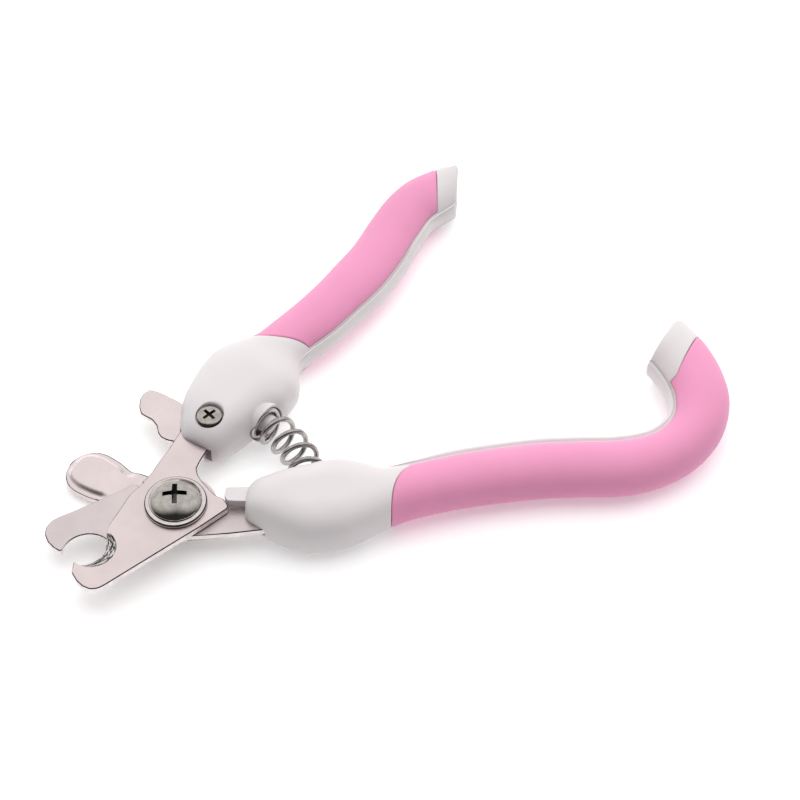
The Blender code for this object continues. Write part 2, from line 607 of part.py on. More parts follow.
boolean(pivot_screw, cutter("cut_pivot_cross", *cross(0, 0, z_head + 0.9, z_head + HEAD_H + 0.4, 2.3, 0.5, math.radians(3))))
z = UPPER_BLADE_Z + BLADE_T + 0.1
make("pivot_washer", *lathe(0, 0, [(PIVOT_HOLE_R, z), (WASHER_R - 0.15, z), (WASHER_R, z + 0.15),
                                   (WASHER_R, z + WASHER_T - 0.2), (WASHER_R - 0.2, z + WASHER_T),
                                   (PIVOT_HOLE_R, z + WASHER_T)], 32), CHROME)
make("guard_spring_washer", *lathe(0, 0, [(PIVOT_HOLE_R, 2.6), (4.7, 2.6), (4.7, 3.2),
                                          (PIVOT_HOLE_R, 3.2)], 28), STEEL)
nut = make("pivot_nut", *prism(circle(0, 0, 4.6, 6, math.radians(30)), 0.4, 2.45), CHROME, smooth=False)
boolean(nut, cutter("cut_nut", *prism(circle(0, 0, PIVOT_HOLE_R, 28), -1.0, 3.0)))

# ---------------------------------------------------------------- nail guard
# a strip from the pivot ring to a crowned spoon, joggled down under the jaws
def guard_mesh():
    width = curve([(2.0, 5.0), (6.0, 5.0), (9.0, 4.5), (12.0, 4.2), (14.5, 4.4), (17.0, 4.95),
                   (19.0, 5.25), (21.2, 5.35), (23.0, 5.05), (24.4, 4.3), (25.5, 3.2), (26.1, 2.1), (26.5, 1.0)])
    rise = curve([(2.0, 0.0), (10.5, 0.0), (11.5, -0.1), (15.2, -1.85), (16.2, -2.0), (26.5, -2.0)])
    crown = curve([(11.5, 0.0), (13.0, 0.4), (15.0, 0.8), (18.0, 1.05), (23.5, 1.1), (25.5, 0.75), (26.5, 0.0)])
    rs = [2.0, 6.0, 9.0, 10.8, 12.0, 13.2, 14.4, 15.4, 16.6, 18.0, 19.5, 21.0, 22.5, 23.7, 24.7, 25.5, 26.1, 26.5]
    m = 8
    a = math.radians(GUARD_ANGLE)
    t, n = (math.cos(a), math.sin(a)), (-math.sin(a), math.cos(a))
    verts = []
    for top in (1, 0):
        for r in rs:
            for j in range(m + 1):
                q = -1 + 2 * j / m
                w = width(r) * q
                z = GUARD_Z + rise(r) + crown(r) * (1 - q ** 4)
                verts.append((t[0] * r + n[0] * w, t[1] * r + n[1] * w, z + (GUARD_T if top else 0.0)))
    c, rows = m + 1, len(rs)
    k = rows * c
    faces = []
    for i in range(rows - 1):
        for j in range(m):
            q = [i * c + j, i * c + j + 1, (i + 1) * c + j + 1, (i + 1) * c + j]
            faces.append(q)
            faces.append([k + x for x in q[::-1]])
        for j in (0, m):
            p, s = i * c + j, (i + 1) * c + j
            faces.append([p, s, k + s, k + p])
    for i in (0, rows - 1):
        for j in range(m):
            p, s = i * c + j, i * c + j + 1
            faces.append([p, s, k + s, k + p])
    return verts, faces


guard = make("guard_plate", *guard_mesh(), STEEL)
boolean(guard, cutter("add_guard_ring", *prism(circle(0, 0, 6.4, 36), GUARD_Z, GUARD_Z + GUARD_T)), 'UNION')
boolean(guard, cutter("cut_guard_hole", *prism(circle(0, 0, PIVOT_HOLE_R, 32), GUARD_Z - 1, GUARD_Z + 2)))

# ---------------------------------------------------------------- lock lever
# thumb tab outside, ring on the lock screw, pawl under the upper blade's arm
qa = math.radians(PAWL_ANGLE)
Q = (8.55 * math.cos(qa), 8.55 * math.sin(qa))
lx, ly = LOCK
d = math.hypot(Q[0] - lx, Q[1] - ly)
ux_, uy_ = (Q[0] - lx) / d, (Q[1] - ly) / d          # along the pawl
nx_, ny_ = -uy_, ux_                                 # towards the pivot
# outer edge of the pawl is kept under the arm
pawl_tip_in = (Q[0], Q[1])
pawl_tip_out = (Q[0] - nx_ * 1.5, Q[1] - ny_ * 1.5)
pawl_root_in = (lx + ux_ * 4.5 + nx_ * 0.6, ly + uy_ * 4.5 + ny_ * 0.6)
lever_outline = (
    [(-7.7, 30.7), (-6.0, 30.0), (-4.3, 29.1), (-2.6, 28.0), (-1.1, 27.0), (2.0, 24.8), (4.4, 23.0)]
    + arc(lx, ly, 3.8, 95, -85, 9)
    + [pawl_root_in, pawl_tip_in, pawl_tip_out, (-3.6, 10.4), (-2.2, 13.4), (-0.9, 16.2),
       (-1.6, 16.9), (-3.2, 17.3), (-4.5, 18.1), (-5.2, 19.4), (-5.5, 21.0), (-6.6, 22.6),
       (-7.9, 23.4), (-9.0, 24.2), (-9.5, 26.0), (-9.5, 27.9), (-8.9, 29.6)])
lever = make("lock_lever", *prism(lever_outline, 4.65, 5.8), STEEL, LOCK_AXIS, smooth=False)
boolean(lever, cutter("cut_lever_hole", *prism(circle(lx, ly, 1.55, 24), 3.0, 7.0)))

screw = [(0.0, 11.75), (2.1, 11.65), (LOCK_HEAD_R, 11.35), (LOCK_HEAD_R, 10.35), (LOCK_SCREW_R, 10.35),
         (LOCK_SCREW_R, 0.6), (0.0, 0.6)]
lock_screw = make("lock_screw", *lathe(lx, ly, screw, 28), CHROME, LOCK_AXIS)
boolean(lock_screw, cutter("cut_lock_cross", *cross(lx, ly, 10.75, 12.2, 1.45, 0.34, math.radians(20))))
make("lock_spring_washer", *lathe(lx, ly, [(1.65, 3.85), (3.3, 3.85), (3.3, 4.45), (1.65, 4.45)], 24),
     STEEL, LOCK_AXIS)
nut = make("lock_nut", *prism(circle(lx, ly, 3.15, 6), 0.5, 2.5), CHROME, LOCK_AXIS, smooth=False)
boolean(nut, cutter("cut_lock_nut_hole", *prism(circle(lx, ly, 1.6, 20), -1.0, 4.0)))


# ------------------------------------------------------------- return spring
def spring_mesh(per_turn=11, sides=6):
    """Open-wound compression spring bent round the pivot, ends close-wound."""
    n = int(SPRING_TURNS * per_turn)
    cl = []
    for i in range(n + 1):
        u = i / n
        turn = u * SPRING_TURNS
        # one close turn at each end, even pitch between
        pitch = lambda x: min(x, 0.85) * 0.45 + max(min(x, SPRING_TURNS - 0.85) - 0.85, 0) + max(x - (SPRING_TURNS - 0.85), 0) * 0.45
        k = pitch(turn) / pitch(SPRING_TURNS)
        th = math.radians(SPRING_FROM + (SPRING_TO - SPRING_FROM) * k)
        a = math.radians(SPRING_PHASE) - 2 * math.pi * turn
        r = SPRING_R + SPRING_COIL_R * math.cos(a)
        cl.append(Vector((r * math.cos(th), r * math.sin(th), MID_Z + SPRING_COIL_R * math.sin(a))))
    verts, faces = [], []
    for i, c in enumerate(cl):
        t = (cl[min(i + 1, n)] - cl[max(i - 1, 0)]).normalized()
        th = math.atan2(c.y, c.x)
        axis = Vector((-math.sin(th), math.cos(th), 0))
        u = t.cross(axis).normalized()
        w = t.cross(u).normalized()
        for j in range(sides):
            b = 2 * math.pi * j / sides
            verts.append(tuple(c + (u * math.cos(b) + w * math.sin(b)) * SPRING_WIRE_R))
    for i in range(n):
        for j in range(sides):
            k = (j + 1) % sides
            faces.append([i * sides + j, i * sides + k, (i + 1) * sides + k, (i + 1) * sides + j])
    faces.append(list(range(sides))[::-1])
    faces.append([n * sides + j for j in range(sides)])
    return verts, faces


make("return_spring", *spring_mesh(), WIRE, angle=60.0)
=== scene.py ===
# The looks of the pet nail clipper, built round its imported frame.
# Plan dimensions are millimetres about the pivot axis, X along the lower
# handle, Z up from the table.
import bpy
import bmesh
import math
import numpy as np
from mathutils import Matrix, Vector

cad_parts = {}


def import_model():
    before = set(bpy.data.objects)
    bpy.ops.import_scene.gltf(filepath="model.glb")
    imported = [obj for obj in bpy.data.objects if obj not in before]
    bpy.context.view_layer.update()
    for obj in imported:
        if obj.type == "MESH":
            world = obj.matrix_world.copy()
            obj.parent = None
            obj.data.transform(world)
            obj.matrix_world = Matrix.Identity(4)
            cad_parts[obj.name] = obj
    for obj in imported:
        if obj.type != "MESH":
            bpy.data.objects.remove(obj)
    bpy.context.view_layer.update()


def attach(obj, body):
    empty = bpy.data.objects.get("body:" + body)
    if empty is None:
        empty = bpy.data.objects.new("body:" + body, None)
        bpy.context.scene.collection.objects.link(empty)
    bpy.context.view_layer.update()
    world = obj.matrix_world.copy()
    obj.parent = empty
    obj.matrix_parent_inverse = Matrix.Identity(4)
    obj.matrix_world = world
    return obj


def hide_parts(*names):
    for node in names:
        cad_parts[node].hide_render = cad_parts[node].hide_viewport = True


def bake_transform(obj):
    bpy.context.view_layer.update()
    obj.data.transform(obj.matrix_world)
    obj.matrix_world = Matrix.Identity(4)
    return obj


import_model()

MM = 0.001
PIVOT_X, PIVOT_Y = -42.80, -36.97
MID_Z = 5.95
LOWER_BLADE_Z, UPPER_BLADE_Z, BLADE_T = 4.50, 6.10, 1.5
PIVOT_R, PIVOT_HOLE_R = 2.5, 2.6
HEAD_R, HEAD_H, WASHER_R, WASHER_T = 5.2, 2.6, 6.1, 0.75
GUARD_T, GUARD_Z, GUARD_ANGLE = 1.0, 3.35, 147.5
LOCK = (5.6, 19.1)
PAWL_ANGLE, CLOSE_ANGLE = 138.0, 26.0
SPRING_R, SPRING_COIL_R, SPRING_WIRE_R, SPRING_TURNS = 26.9, 3.3, 0.55, 5.755
SPRING_FROM, SPRING_TO, SPRING_PHASE, BOSS_ANGLE = 55.0, 15.5, 311.0, 52.0
SOCKET_R = 4.2
GRIP_T = 1.5
NOTCH_UP = (-17.3, -9.2, 4.55)
NOTCH_LO = (-16.3, -11.2, 5.05)
PHI_B = math.radians(27)


# ------------------------------------------------------------------ helpers
def world(p):
    return ((p[0] + PIVOT_X) * MM, (p[1] + PIVOT_Y) * MM, p[2] * MM)


def make(name, verts, faces, mat=None, angle=35.0, smooth=True):
    me = bpy.data.meshes.new(name)
    me.from_pydata([world(v) for v in verts], [], faces)
    me.validate()
    bm = bmesh.new()
    bm.from_mesh(me)
    bmesh.ops.recalc_face_normals(bm, faces=bm.faces)
    bm.to_mesh(me)
    bm.free()
    if mat:
        me.materials.append(mat)
    ob = bpy.data.objects.new(name, me)
    bpy.context.collection.objects.link(ob)
    if smooth:
        finish_smooth(ob, angle)
    return ob


def finish_smooth(ob, angle=35.0):
    ob.data.shade_smooth()
    ob.data.set_sharp_from_angle(angle=math.radians(angle))


def apply_all(ob):
    """Replace the mesh by its evaluated self and drop the modifiers."""
    dg = bpy.context.evaluated_depsgraph_get()
    me = bpy.data.meshes.new_from_object(ob.evaluated_get(dg))
    old = ob.data
    ob.modifiers.clear()
    ob.data = me
    bpy.data.meshes.remove(old)


def cut(ob, tools):
    """Exact booleans in order; each tool is (verts, faces, operation)."""
    for i, (v, f, op) in enumerate(tools):
        t = make(ob.name + "_tool", v, f, None, smooth=False)
        m = ob.modifiers.new("b%d" % i, 'BOOLEAN')
        m.operation, m.solver, m.object = op, 'EXACT', t
        apply_all(ob)
        bpy.data.meshes.remove(t.data)
    return ob


def bevel_edges(ob, width, angle=40.0, segments=2):
    m = ob.modifiers.new("edges", 'BEVEL')
    m.width, m.segments = width * MM, segments
    m.limit_method, m.angle_limit = 'ANGLE', math.radians(angle)
    m.use_clamp_overlap = True
    apply_all(ob)
    finish_smooth(ob, 30.0)
    wn = ob.modifiers.new("flat", 'WEIGHTED_NORMAL')
    wn.mode, wn.weight, wn.keep_sharp = 'FACE_AREA', 50, True
    apply_all(ob)


def shade_edges(ob, edge_shade, wall):
    """Painted shade: the bevel faces get near-black metal, a dark edge line standing in for shade and dark
    reflection; the sheared wall of a stamped plate gets its own finish.
    """
    k = len(ob.data.materials)
    ob.data.materials.append(edge_shade)
    ob.data.materials.append(wall)
    for p in ob.data.polygons:
        if p.material_index == 0 and abs(p.normal.z) < 0.97:
            p.material_index = k if abs(p.normal.z) > 0.12 else k + 1


def fillet(poly, r, keep=()):
    """Round the corners of a closed plan outline."""
    pts, out, n = [np.array(p, float) for p in poly], [], len(poly)
    for i in range(n):
        a, p, b = pts[i - 1], pts[i], pts[(i + 1) % n]
        u, w = a - p, b - p
        lu, lw = np.hypot(*u), np.hypot(*w)
        if lu < 1e-6 or lw < 1e-6:
            continue
        k = float(np.dot(u, w) / (lu * lw))
        turn = math.pi - math.acos(max(-1, min(1, k)))
        if turn < math.radians(1.0) or i in keep:
            out.append(tuple(p))
            continue
        d = min(r * math.tan(turn / 2) if turn < 2.6 else r, 0.46 * lu, 0.46 * lw)
        d = max(d, min(0.46 * lu, 0.46 * lw, 0.35)) if turn < 0.6 else d
        s, e = p + u / lu * d, p + w / lw * d
        m = max(2, int(math.degrees(turn) / 9))
        for j in range(m + 1):
            t = j / m
            q = (1 - t) ** 2 * s + 2 * t * (1 - t) * p + t * t * e
            out.append((float(q[0]), float(q[1])))
    return out


def prism(poly, z0, z1):
    n = len(poly)
    v = [(x, y, z0) for x, y in poly] + [(x, y, z1) for x, y in poly]
    f = [list(range(n))[::-1], list(range(n, 2 * n))]
    f += [[i, (i + 1) % n, n + (i + 1) % n, n + i] for i in range(n)]
    return v, f


def plate(poly, z0, z1, w=0.17, keep=0.0):
    """A prism with its rims broken by w, but square within keep of the axis."""
    n = len(poly)
    area2 = sum(poly[i - 1][0] * poly[i][1] - poly[i][0] * poly[i - 1][1] for i in range(n))
    sgn = 1 if area2 > 0 else -1
    inner = []
    for i in range(n):
        a, b, c = Vector(poly[i - 1]), Vector(poly[i]), Vector(poly[(i + 1) % n])
        d0, d1 = (b - a).normalized(), (c - b).normalized()
        n0, n1 = Vector((-d0.y, d0.x)) * sgn, Vector((-d1.y, d1.x)) * sgn
        m = (n0 + n1).normalized()
        k = w / max(0.6, m.dot(n0)) if b.length > keep else 0.0
        inner.append((b.x + m.x * k, b.y + m.y * k))
    rings = [(inner, z0), (poly, z0 + w), (poly, z1 - w), (inner, z1)]
    verts = [(x, y, z) for ring, z in rings for x, y in ring]
    faces = [list(range(n))[::-1], list(range(3 * n, 4 * n))]
    for k in range(3):
        faces += [[k * n + i, k * n + (i + 1) % n, (k + 1) * n + (i + 1) % n, (k + 1) * n + i] for i in range(n)]
    return verts, faces


def circle(cx, cy, r, n=48, a0=0.0):
    return [(cx + r * math.cos(a0 + 2 * math.pi * i / n),
             cy + r * math.sin(a0 + 2 * math.pi * i / n)) for i in range(n)]


def arc(cx, cy, r, a0, a1, n):
    return [(cx + r * math.cos(math.radians(a0 + (a1 - a0) * i / n)),
             cy + r * math.sin(math.radians(a0 + (a1 - a0) * i / n)))
            for i in range(n + 1)]


def lathe(cx, cy, profile, n=72):
    v, f = [], []
    if profile[0][0] > 0:
        m = len(profile)
        for r, z in profile:
            v += [(x, y, z) for x, y in circle(cx, cy, r, n)]
        for k in range(m):
            a, b = k * n, ((k + 1) % m) * n
            f += [[a + i, a + (i + 1) % n, b + (i + 1) % n, b + i] for i in range(n)]
        return v, f
    inner = profile[1:-1]
    v.append((cx, cy, profile[0][1]))
    for r, z in inner:
        v += [(x, y, z) for x, y in circle(cx, cy, r, n)]
    v.append((cx, cy, profile[-1][1]))
    last = len(v) - 1
    f += [[0, 1 + i, 1 + (i + 1) % n] for i in range(n)]
    for k in range(len(inner) - 1):
        a, b = 1 + k * n, 1 + (k + 1) * n
        f += [[a + i, b + i, b + (i + 1) % n, a + (i + 1) % n] for i in range(n)]
    a = 1 + (len(inner) - 1) * n
    f += [[last, a + (i + 1) % n, a + i] for i in range(n)]
    return v, f


def tube_solid(p0, p1, r0, r1, n=56):
    p0, p1 = Vector(p0), Vector(p1)
    d = (p1 - p0).normalized()
    if abs(d.z) > 0.3:
        u, w = Vector((1, 0, 0)), Vector((0, 1, 0))
    else:
        u = Vector((-d.y, d.x, 0)).normalized()
        w = Vector((0, 0, 1))
    v = []
    for c, r in ((p0, r0), (p1, r1)):
        v += [tuple(c + u * r * math.cos(2 * math.pi * i / n)
                    + w * r * math.sin(2 * math.pi * i / n)) for i in range(n)]
    f = [list(range(n)), list(range(n, 2 * n))[::-1]]
    f += [[i, n + i, n + (i + 1) % n, (i + 1) % n] for i in range(n)]
    return v, f


# ---------------------------------------------------------------- materials
class Mat:
    """A Principled material with its nodes added one by one."""

    def __init__(self, name, rgb, rough, metal, **sockets):
        self.m = bpy.data.materials.new(name)
        self.m.use_nodes = True
        self.t = self.m.node_tree
        self.b = self.t.nodes["Principled BSDF"]
        self.rgb = (rgb[0], rgb[1], rgb[2], 1.0)
        self.b.inputs["Base Color"].default_value = self.rgb
        self.b.inputs["Roughness"].default_value = rough
        self.b.inputs["Metallic"].default_value = metal
        for k, val in sockets.items():
            self.b.inputs[k.replace("_", " ")].default_value = val
        self.co = self.t.nodes.new("ShaderNodeTexCoord").outputs["Object"]

    def noise(self, scale, detail=3.0, stretch=None, turn=0.0, rough=0.5):
        src = self.co
        if stretch:
            mp = self.t.nodes.new("ShaderNodeMapping")
            mp.inputs["Rotation"].default_value = (0, 0, math.radians(turn))
            mp.inputs["Scale"].default_value = stretch
            self.t.links.new(src, mp.inputs["Vector"])
            src = mp.outputs["Vector"]
        n = self.t.nodes.new("ShaderNodeTexNoise")
        n.inputs["Scale"].default_value = scale
        n.inputs["Detail"].default_value = detail
        n.inputs["Roughness"].default_value = rough
        self.t.links.new(src, n.inputs["Vector"])
        return n.outputs["Fac"]

    def ramp(self, fac, a, b, lo=0.35, hi=0.65):
        r = self.t.nodes.new("ShaderNodeMapRange")
        r.inputs["From Min"].default_value = lo
        r.inputs["From Max"].default_value = hi
        r.inputs["To Min"].default_value = a
        r.inputs["To Max"].default_value = b
        self.t.links.new(fac, r.inputs["Value"])
        return r.outputs["Result"]

    def tint(self, fac, dark, light, lo=0.35, hi=0.65):
        """Colour between two shades by a noise."""
        r = self.t.nodes.new("ShaderNodeValToRGB")
        r.color_ramp.elements[0].position = lo
        r.color_ramp.elements[1].position = hi
        r.color_ramp.elements[0].color = tuple(c * dark for c in self.rgb[:3]) + (1.0,)
        r.color_ramp.elements[1].color = tuple(min(1.0, c * light) for c in self.rgb[:3]) + (1.0,)
        self.t.links.new(fac, r.inputs["Fac"])
        self.t.links.new(r.outputs["Color"], self.b.inputs["Base Color"])

    def rough(self, fac, a, b, lo=0.35, hi=0.65):
        self.t.links.new(self.ramp(fac, a, b, lo, hi), self.b.inputs["Roughness"])

    def bump(self, *layers):
        """Stacked bumps: (height, distance in mm, strength)."""
        prev = None
        for h, dist, strength in layers:
            n = self.t.nodes.new("ShaderNodeBump")
            n.inputs["Distance"].default_value = dist * MM
            n.inputs["Strength"].default_value = strength
            self.t.links.new(h, n.inputs["Height"])
            if prev:
                self.t.links.new(prev, n.inputs["Normal"])
            prev = n.outputs["Normal"]
        self.t.links.new(prev, self.b.inputs["Normal"])


def white_plastic():
    m = Mat("white_plastic", (0.755, 0.715, 0.722), 0.4, 0.0, Specular_IOR_Level=0.42,
            Subsurface_Weight=0.06, Subsurface_Scale=0.0012)
    m.tint(m.noise(70, 2.0), 0.975, 1.02)
    m.rough(m.noise(600, 3.0), 0.36, 0.46)
    m.bump((m.noise(260, 3.0), 0.03, 0.5), (m.noise(3800, 2.0), 0.006, 0.55))
    return m.m


def pink_rubber():
    m = Mat("pink_soft_grip", (0.85, 0.335, 0.54), 0.5, 0.0, Specular_IOR_Level=0.24,
            Subsurface_Weight=0.05, Subsurface_Scale=0.0012, Sheen_Weight=0.06, Sheen_Roughness=0.4)
    m.tint(m.noise(55, 2.0), 0.97, 1.025)
    m.rough(m.noise(700, 3.0), 0.46, 0.56)
    m.bump((m.noise(220, 3.0), 0.035, 0.5), (m.noise(4500, 2.0), 0.008, 0.6))
    return m.m


def blade_steel(name, turn, rgb, rough=0.34):
    """Satin plate: long fine grinding lines over a slight orange-peel."""
    m = Mat(name, rgb, rough, 1.0)
    lines = m.noise(1.0, 4.0, (260.0, 9000.0, 9000.0), turn, 0.65)
    m.tint(m.noise(160, 3.0), 0.955, 1.03)
    m.rough(lines, rough - 0.05, rough + 0.1)
    m.bump((m.noise(420, 3.0), 0.012, 0.35), (lines, 0.004, 0.55), (m.noise(5200, 2.0), 0.004, 0.4))
    return m.m


def ground_steel(name, turn, rgb):
    """Bevel of the nail notch: coarse lines left by the wheel, mirror between."""
    m = Mat(name, rgb, 0.2, 1.0)
    lines = m.noise(1.0, 2.0, (700.0, 700.0, 4200.0), turn, 0.6)
    m.tint(lines, 0.05, 1.1, 0.47, 0.55)
    m.rough(lines, 0.14, 0.3)
    m.bump((lines, 0.02, 0.8))
    return m.m


def stamped_steel():
    m = Mat("stamped_steel", (0.78, 0.675, 0.675), 0.2, 1.0)
    m.tint(m.noise(130, 3.0), 0.94, 1.03)
    m.rough(m.noise(900, 4.0), 0.17, 0.28)
    m.bump((m.noise(420, 2.0), 0.01, 0.3), (m.noise(4200, 3.0), 0.003, 0.35))
    return m.m


def bright_screw():
    m = Mat("bright_screw", (0.46, 0.43, 0.395), 0.13, 1.0)
    m.tint(m.noise(900, 4.0), 0.82, 1.1)
    m.rough(m.noise(1500, 3.0), 0.10, 0.2)
    m.bump((m.noise(900, 3.0), 0.02, 0.45), (m.noise(5200, 2.0), 0.004, 0.5))
    return m.m


def dull_steel(name, rgb, rough=0.36):
    m = Mat(name, rgb, rough, 1.0)
    m.tint(m.noise(600, 3.0), 0.88, 1.05)
    m.rough(m.noise(1600, 3.0), rough - 0.06, rough + 0.08)
    m.bump((m.noise(1300, 3.0), 0.012, 0.5))
    return m.m


def spring_wire():
    m = Mat("spring_wire", (0.44, 0.42, 0.41), 0.15, 1.0)
    m.tint(m.noise(900, 3.0), 0.85, 1.06)
    m.rough(m.noise(2400, 3.0), 0.12, 0.24)
    m.bump((m.noise(1.0, 3.0, (6000.0, 1200.0, 6000.0), -40.0), 0.006, 0.5))
    return m.m


WHITE, PINK = white_plastic(), pink_rubber()
STEEL_UP = blade_steel("blade_steel_upper", -38.0, (0.765, 0.66, 0.66))
# painted shade: the lower blade's steel is a darker copy of the upper blade's, for the shade it lies in under the
# upper blade
STEEL_LO_PAINTED_SHADE = blade_steel("blade_steel_lower_painted_shade", 12.0, (0.70, 0.615, 0.62), 0.36)
GROUND = ground_steel("ground_bevel", 0.0, (0.62, 0.58, 0.57))
STAMPED, BRIGHT = stamped_steel(), bright_screw()
DULL = dull_steel("dull_steel", (0.50, 0.49, 0.48))
RING = dull_steel("washer_steel", (0.72, 0.66, 0.655), 0.24)
WIRE = spring_wire()
# painted shade: near-black metal for bevels and rims, a dark edge line standing in for shade and dark reflection
EDGE_PAINTED_SHADE = dull_steel("edge_painted_shade", (0.035, 0.032, 0.031), 0.4)
WALL = dull_steel("sheared_wall", (0.80, 0.74, 0.74), 0.3)
# painted shade: near-black metal for the screw heads' sides and the bottoms of their cross recesses, standing in
# for shade and dark reflection
SCREW_PAINTED_SHADE = dull_steel("screw_painted_shade", (0.10, 0.095, 0.09), 0.3)


# ------------------------------------------------------------ handle surface
class Path:
    """Smooth plan curve through control points, read by its length."""

    def __init__(self, ctrl, m=16):
        c = [np.array(p, float) for p in ctrl]
        c = [2 * c[0] - c[1]] + c + [2 * c[-1] - c[-2]]
        pts = []
        for i in range(1, len(c) - 2):
            for k in range(m):
                t = k / m
                a, b, d, e = c[i - 1], c[i], c[i + 1], c[i + 2]
                pts.append(0.5 * (2 * b + (d - a) * t
                                  + (2 * a - 5 * b + 4 * d - e) * t * t
                                  + (3 * b - a - 3 * d + e) * t ** 3))
        pts.append(c[-2])
        self.p = np.array(pts)
        seg = np.hypot(*np.diff(self.p, axis=0).T)
        self.s = np.concatenate([[0.0], np.cumsum(seg)])

    def at(self, s):
        return np.array([np.interp(s, self.s, self.p[:, 0]),
                         np.interp(s, self.s, self.p[:, 1])])

    def frame(self, s):
        h = 1.2
        a, b = self.at(max(s - h, 0.0)), self.at(min(s + h, self.s[-1]))
        t = (b - a) / np.hypot(*(b - a))
        return self.at(s), t


def curve(table):
    """Smooth monotone interpolation of (s, value) pairs."""
    x = np.array([p[0] for p in table], float)
    y = np.array([p[1] for p in table], float)
    h = np.diff(x)
    d = np.diff(y) / h
    m = np.zeros(len(x))
    m[0], m[-1] = d[0], d[-1]
    for i in range(1, len(x) - 1):
        if d[i - 1] * d[i] > 0:
            w1, w2 = 2 * h[i] + h[i - 1], h[i] + 2 * h[i - 1]
            m[i] = (w1 + w2) / (w1 / d[i - 1] + w2 / d[i])

    def f(s):
        s = min(max(s, x[0]), x[-1])
        i = min(int(np.searchsorted(x, s, side='right')) - 1, len(x) - 2)
        t = (s - x[i]) / h[i]
        return ((1 + 2 * t) * (1 - t) ** 2 * y[i] + t * (1 - t) ** 2 * h[i] * m[i]
                + t * t * (3 - 2 * t) * y[i + 1] + t * t * (t - 1) * h[i] * m[i + 1])
    return f


class Handle:
    """A moulded handle: sections square to a plan path."""

    def __init__(self, path, side, inner, outer, half, mid, power, flange,
                 rim, lip, start, finish, tip, total, square=None):
        self.path, self.side, self.total = Path(path), side, total
        self.inner, self.outer, self.half, self.mid = curve(inner), curve(outer), curve(half), curve(mid)
        self.power, self.flange, self.rim = curve(power), curve(flange), curve(rim)
        self.lip = curve(lip)
        self.square = square
        self.start, self.finish, self.tip = curve(start), curve(finish), curve(tip)

    def local(self, s, q, off=0.0, nudge=0.0):
        """q in 0..1 runs from the rim's upper edge over the top, round the
        outer side and back below; q in 1..2 is the rim, bottom to top."""
        ai, ao, c = self.inner(s), self.outer(s), self.half(s)
        p, w, f = self.power(s), self.flange(s), self.rim(s)
        ab = ai - self.lip(s) * w

        def ell(phi, sub):
            cx, sz = math.cos(phi), math.sin(phi)
            a = (ab if cx > 0 else ao) - sub
            z = (c - sub) * math.copysign(abs(sz) ** (2 / p), sz)
            return a * math.copysign(abs(cx) ** (2 / p), cx), max(-5.95, min(5.95, z))
        if q <= 1:
            b = PHI_B + nudge
            return ell(b + (2 * math.pi - 2 * b) * q, off)
        t = q - 1
        x1, z1 = ell(-PHI_B + 2 * PHI_B * t, 0.0)
        if w <= 0:
            return x1, z1
        xb, zb = ell(PHI_B, 0.0)
        edge = [(xb, zb), (xb + 0.12, f + 0.45 * (zb - f)), (xb + 0.34, f - 0.2), (xb + 0.6, f + 0.12),
                (ai - 0.85, f + 0.2), (ai - 0.45, f - 0.02), (ai - 0.16, f - 0.5), (ai, f - 1.3), (ai, 0.0)]
        k = (1 - abs(2 * t - 1)) * (len(edge) - 1)
        i = min(int(k), len(edge) - 2)
        u = k - i
        e = [edge[max(i - 1, 0)], edge[i], edge[i + 1],
             edge[i + 2] if i + 2 < len(edge) else (edge[i][0], -edge[i][1])]
        x2, z2 = [0.5 * (2 * e[1][n] + (e[2][n] - e[0][n]) * u
                         + (2 * e[0][n] - 5 * e[1][n] + 4 * e[2][n] - e[3][n]) * u * u
                         + (3 * e[1][n] - e[0][n] - 3 * e[2][n] + e[3][n]) * u ** 3) for n in (0, 1)]
        z2 = -z2 if t < 0.5 else z2
        return x1 + (x2 - x1) * w, z1 + (z2 - z1) * w

    def point(self, s, q, off=0.0, nudge=0.0, squash=1.0):
        x, z = self.local(s, q, off, nudge)
        c, t = self.path.frame(s)
        n = np.array([-t[1], t[0]]) * self.side
        r = c + n * x * (0.25 + 0.75 * squash if squash < 1 else 1.0)
        return (float(r[0]), float(r[1]), self.mid(s) + z * squash)

    def s_start(self, q):
        return self.start(self.local(self.start(0.0), q)[0])

    def s_at(self, q, line):
        lo, hi = self.finish(0.0) - 10.0, self.path.s[-1]
        for _ in range(40):
            s = 0.5 * (lo + hi)
            x = self.local(s, q)[0]
            c, t = self.path.frame(s)
            if c[0] - t[1] * self.side * x < line(x):
                lo = s
            else:
                hi = s
        return 0.5 * (lo + hi)

    def s_finish(self, q):
        if self.square:
            return self.s_at(q, curve(self.square[0]))
        return self.finish(self.local(self.finish(0.0), q)[0])

    def s_tip(self, q):
        if self.square:
            return self.s_at(q, curve(self.square[1]))
        return self.total + self.tip(self.local(self.total - 2.0, q)[0])


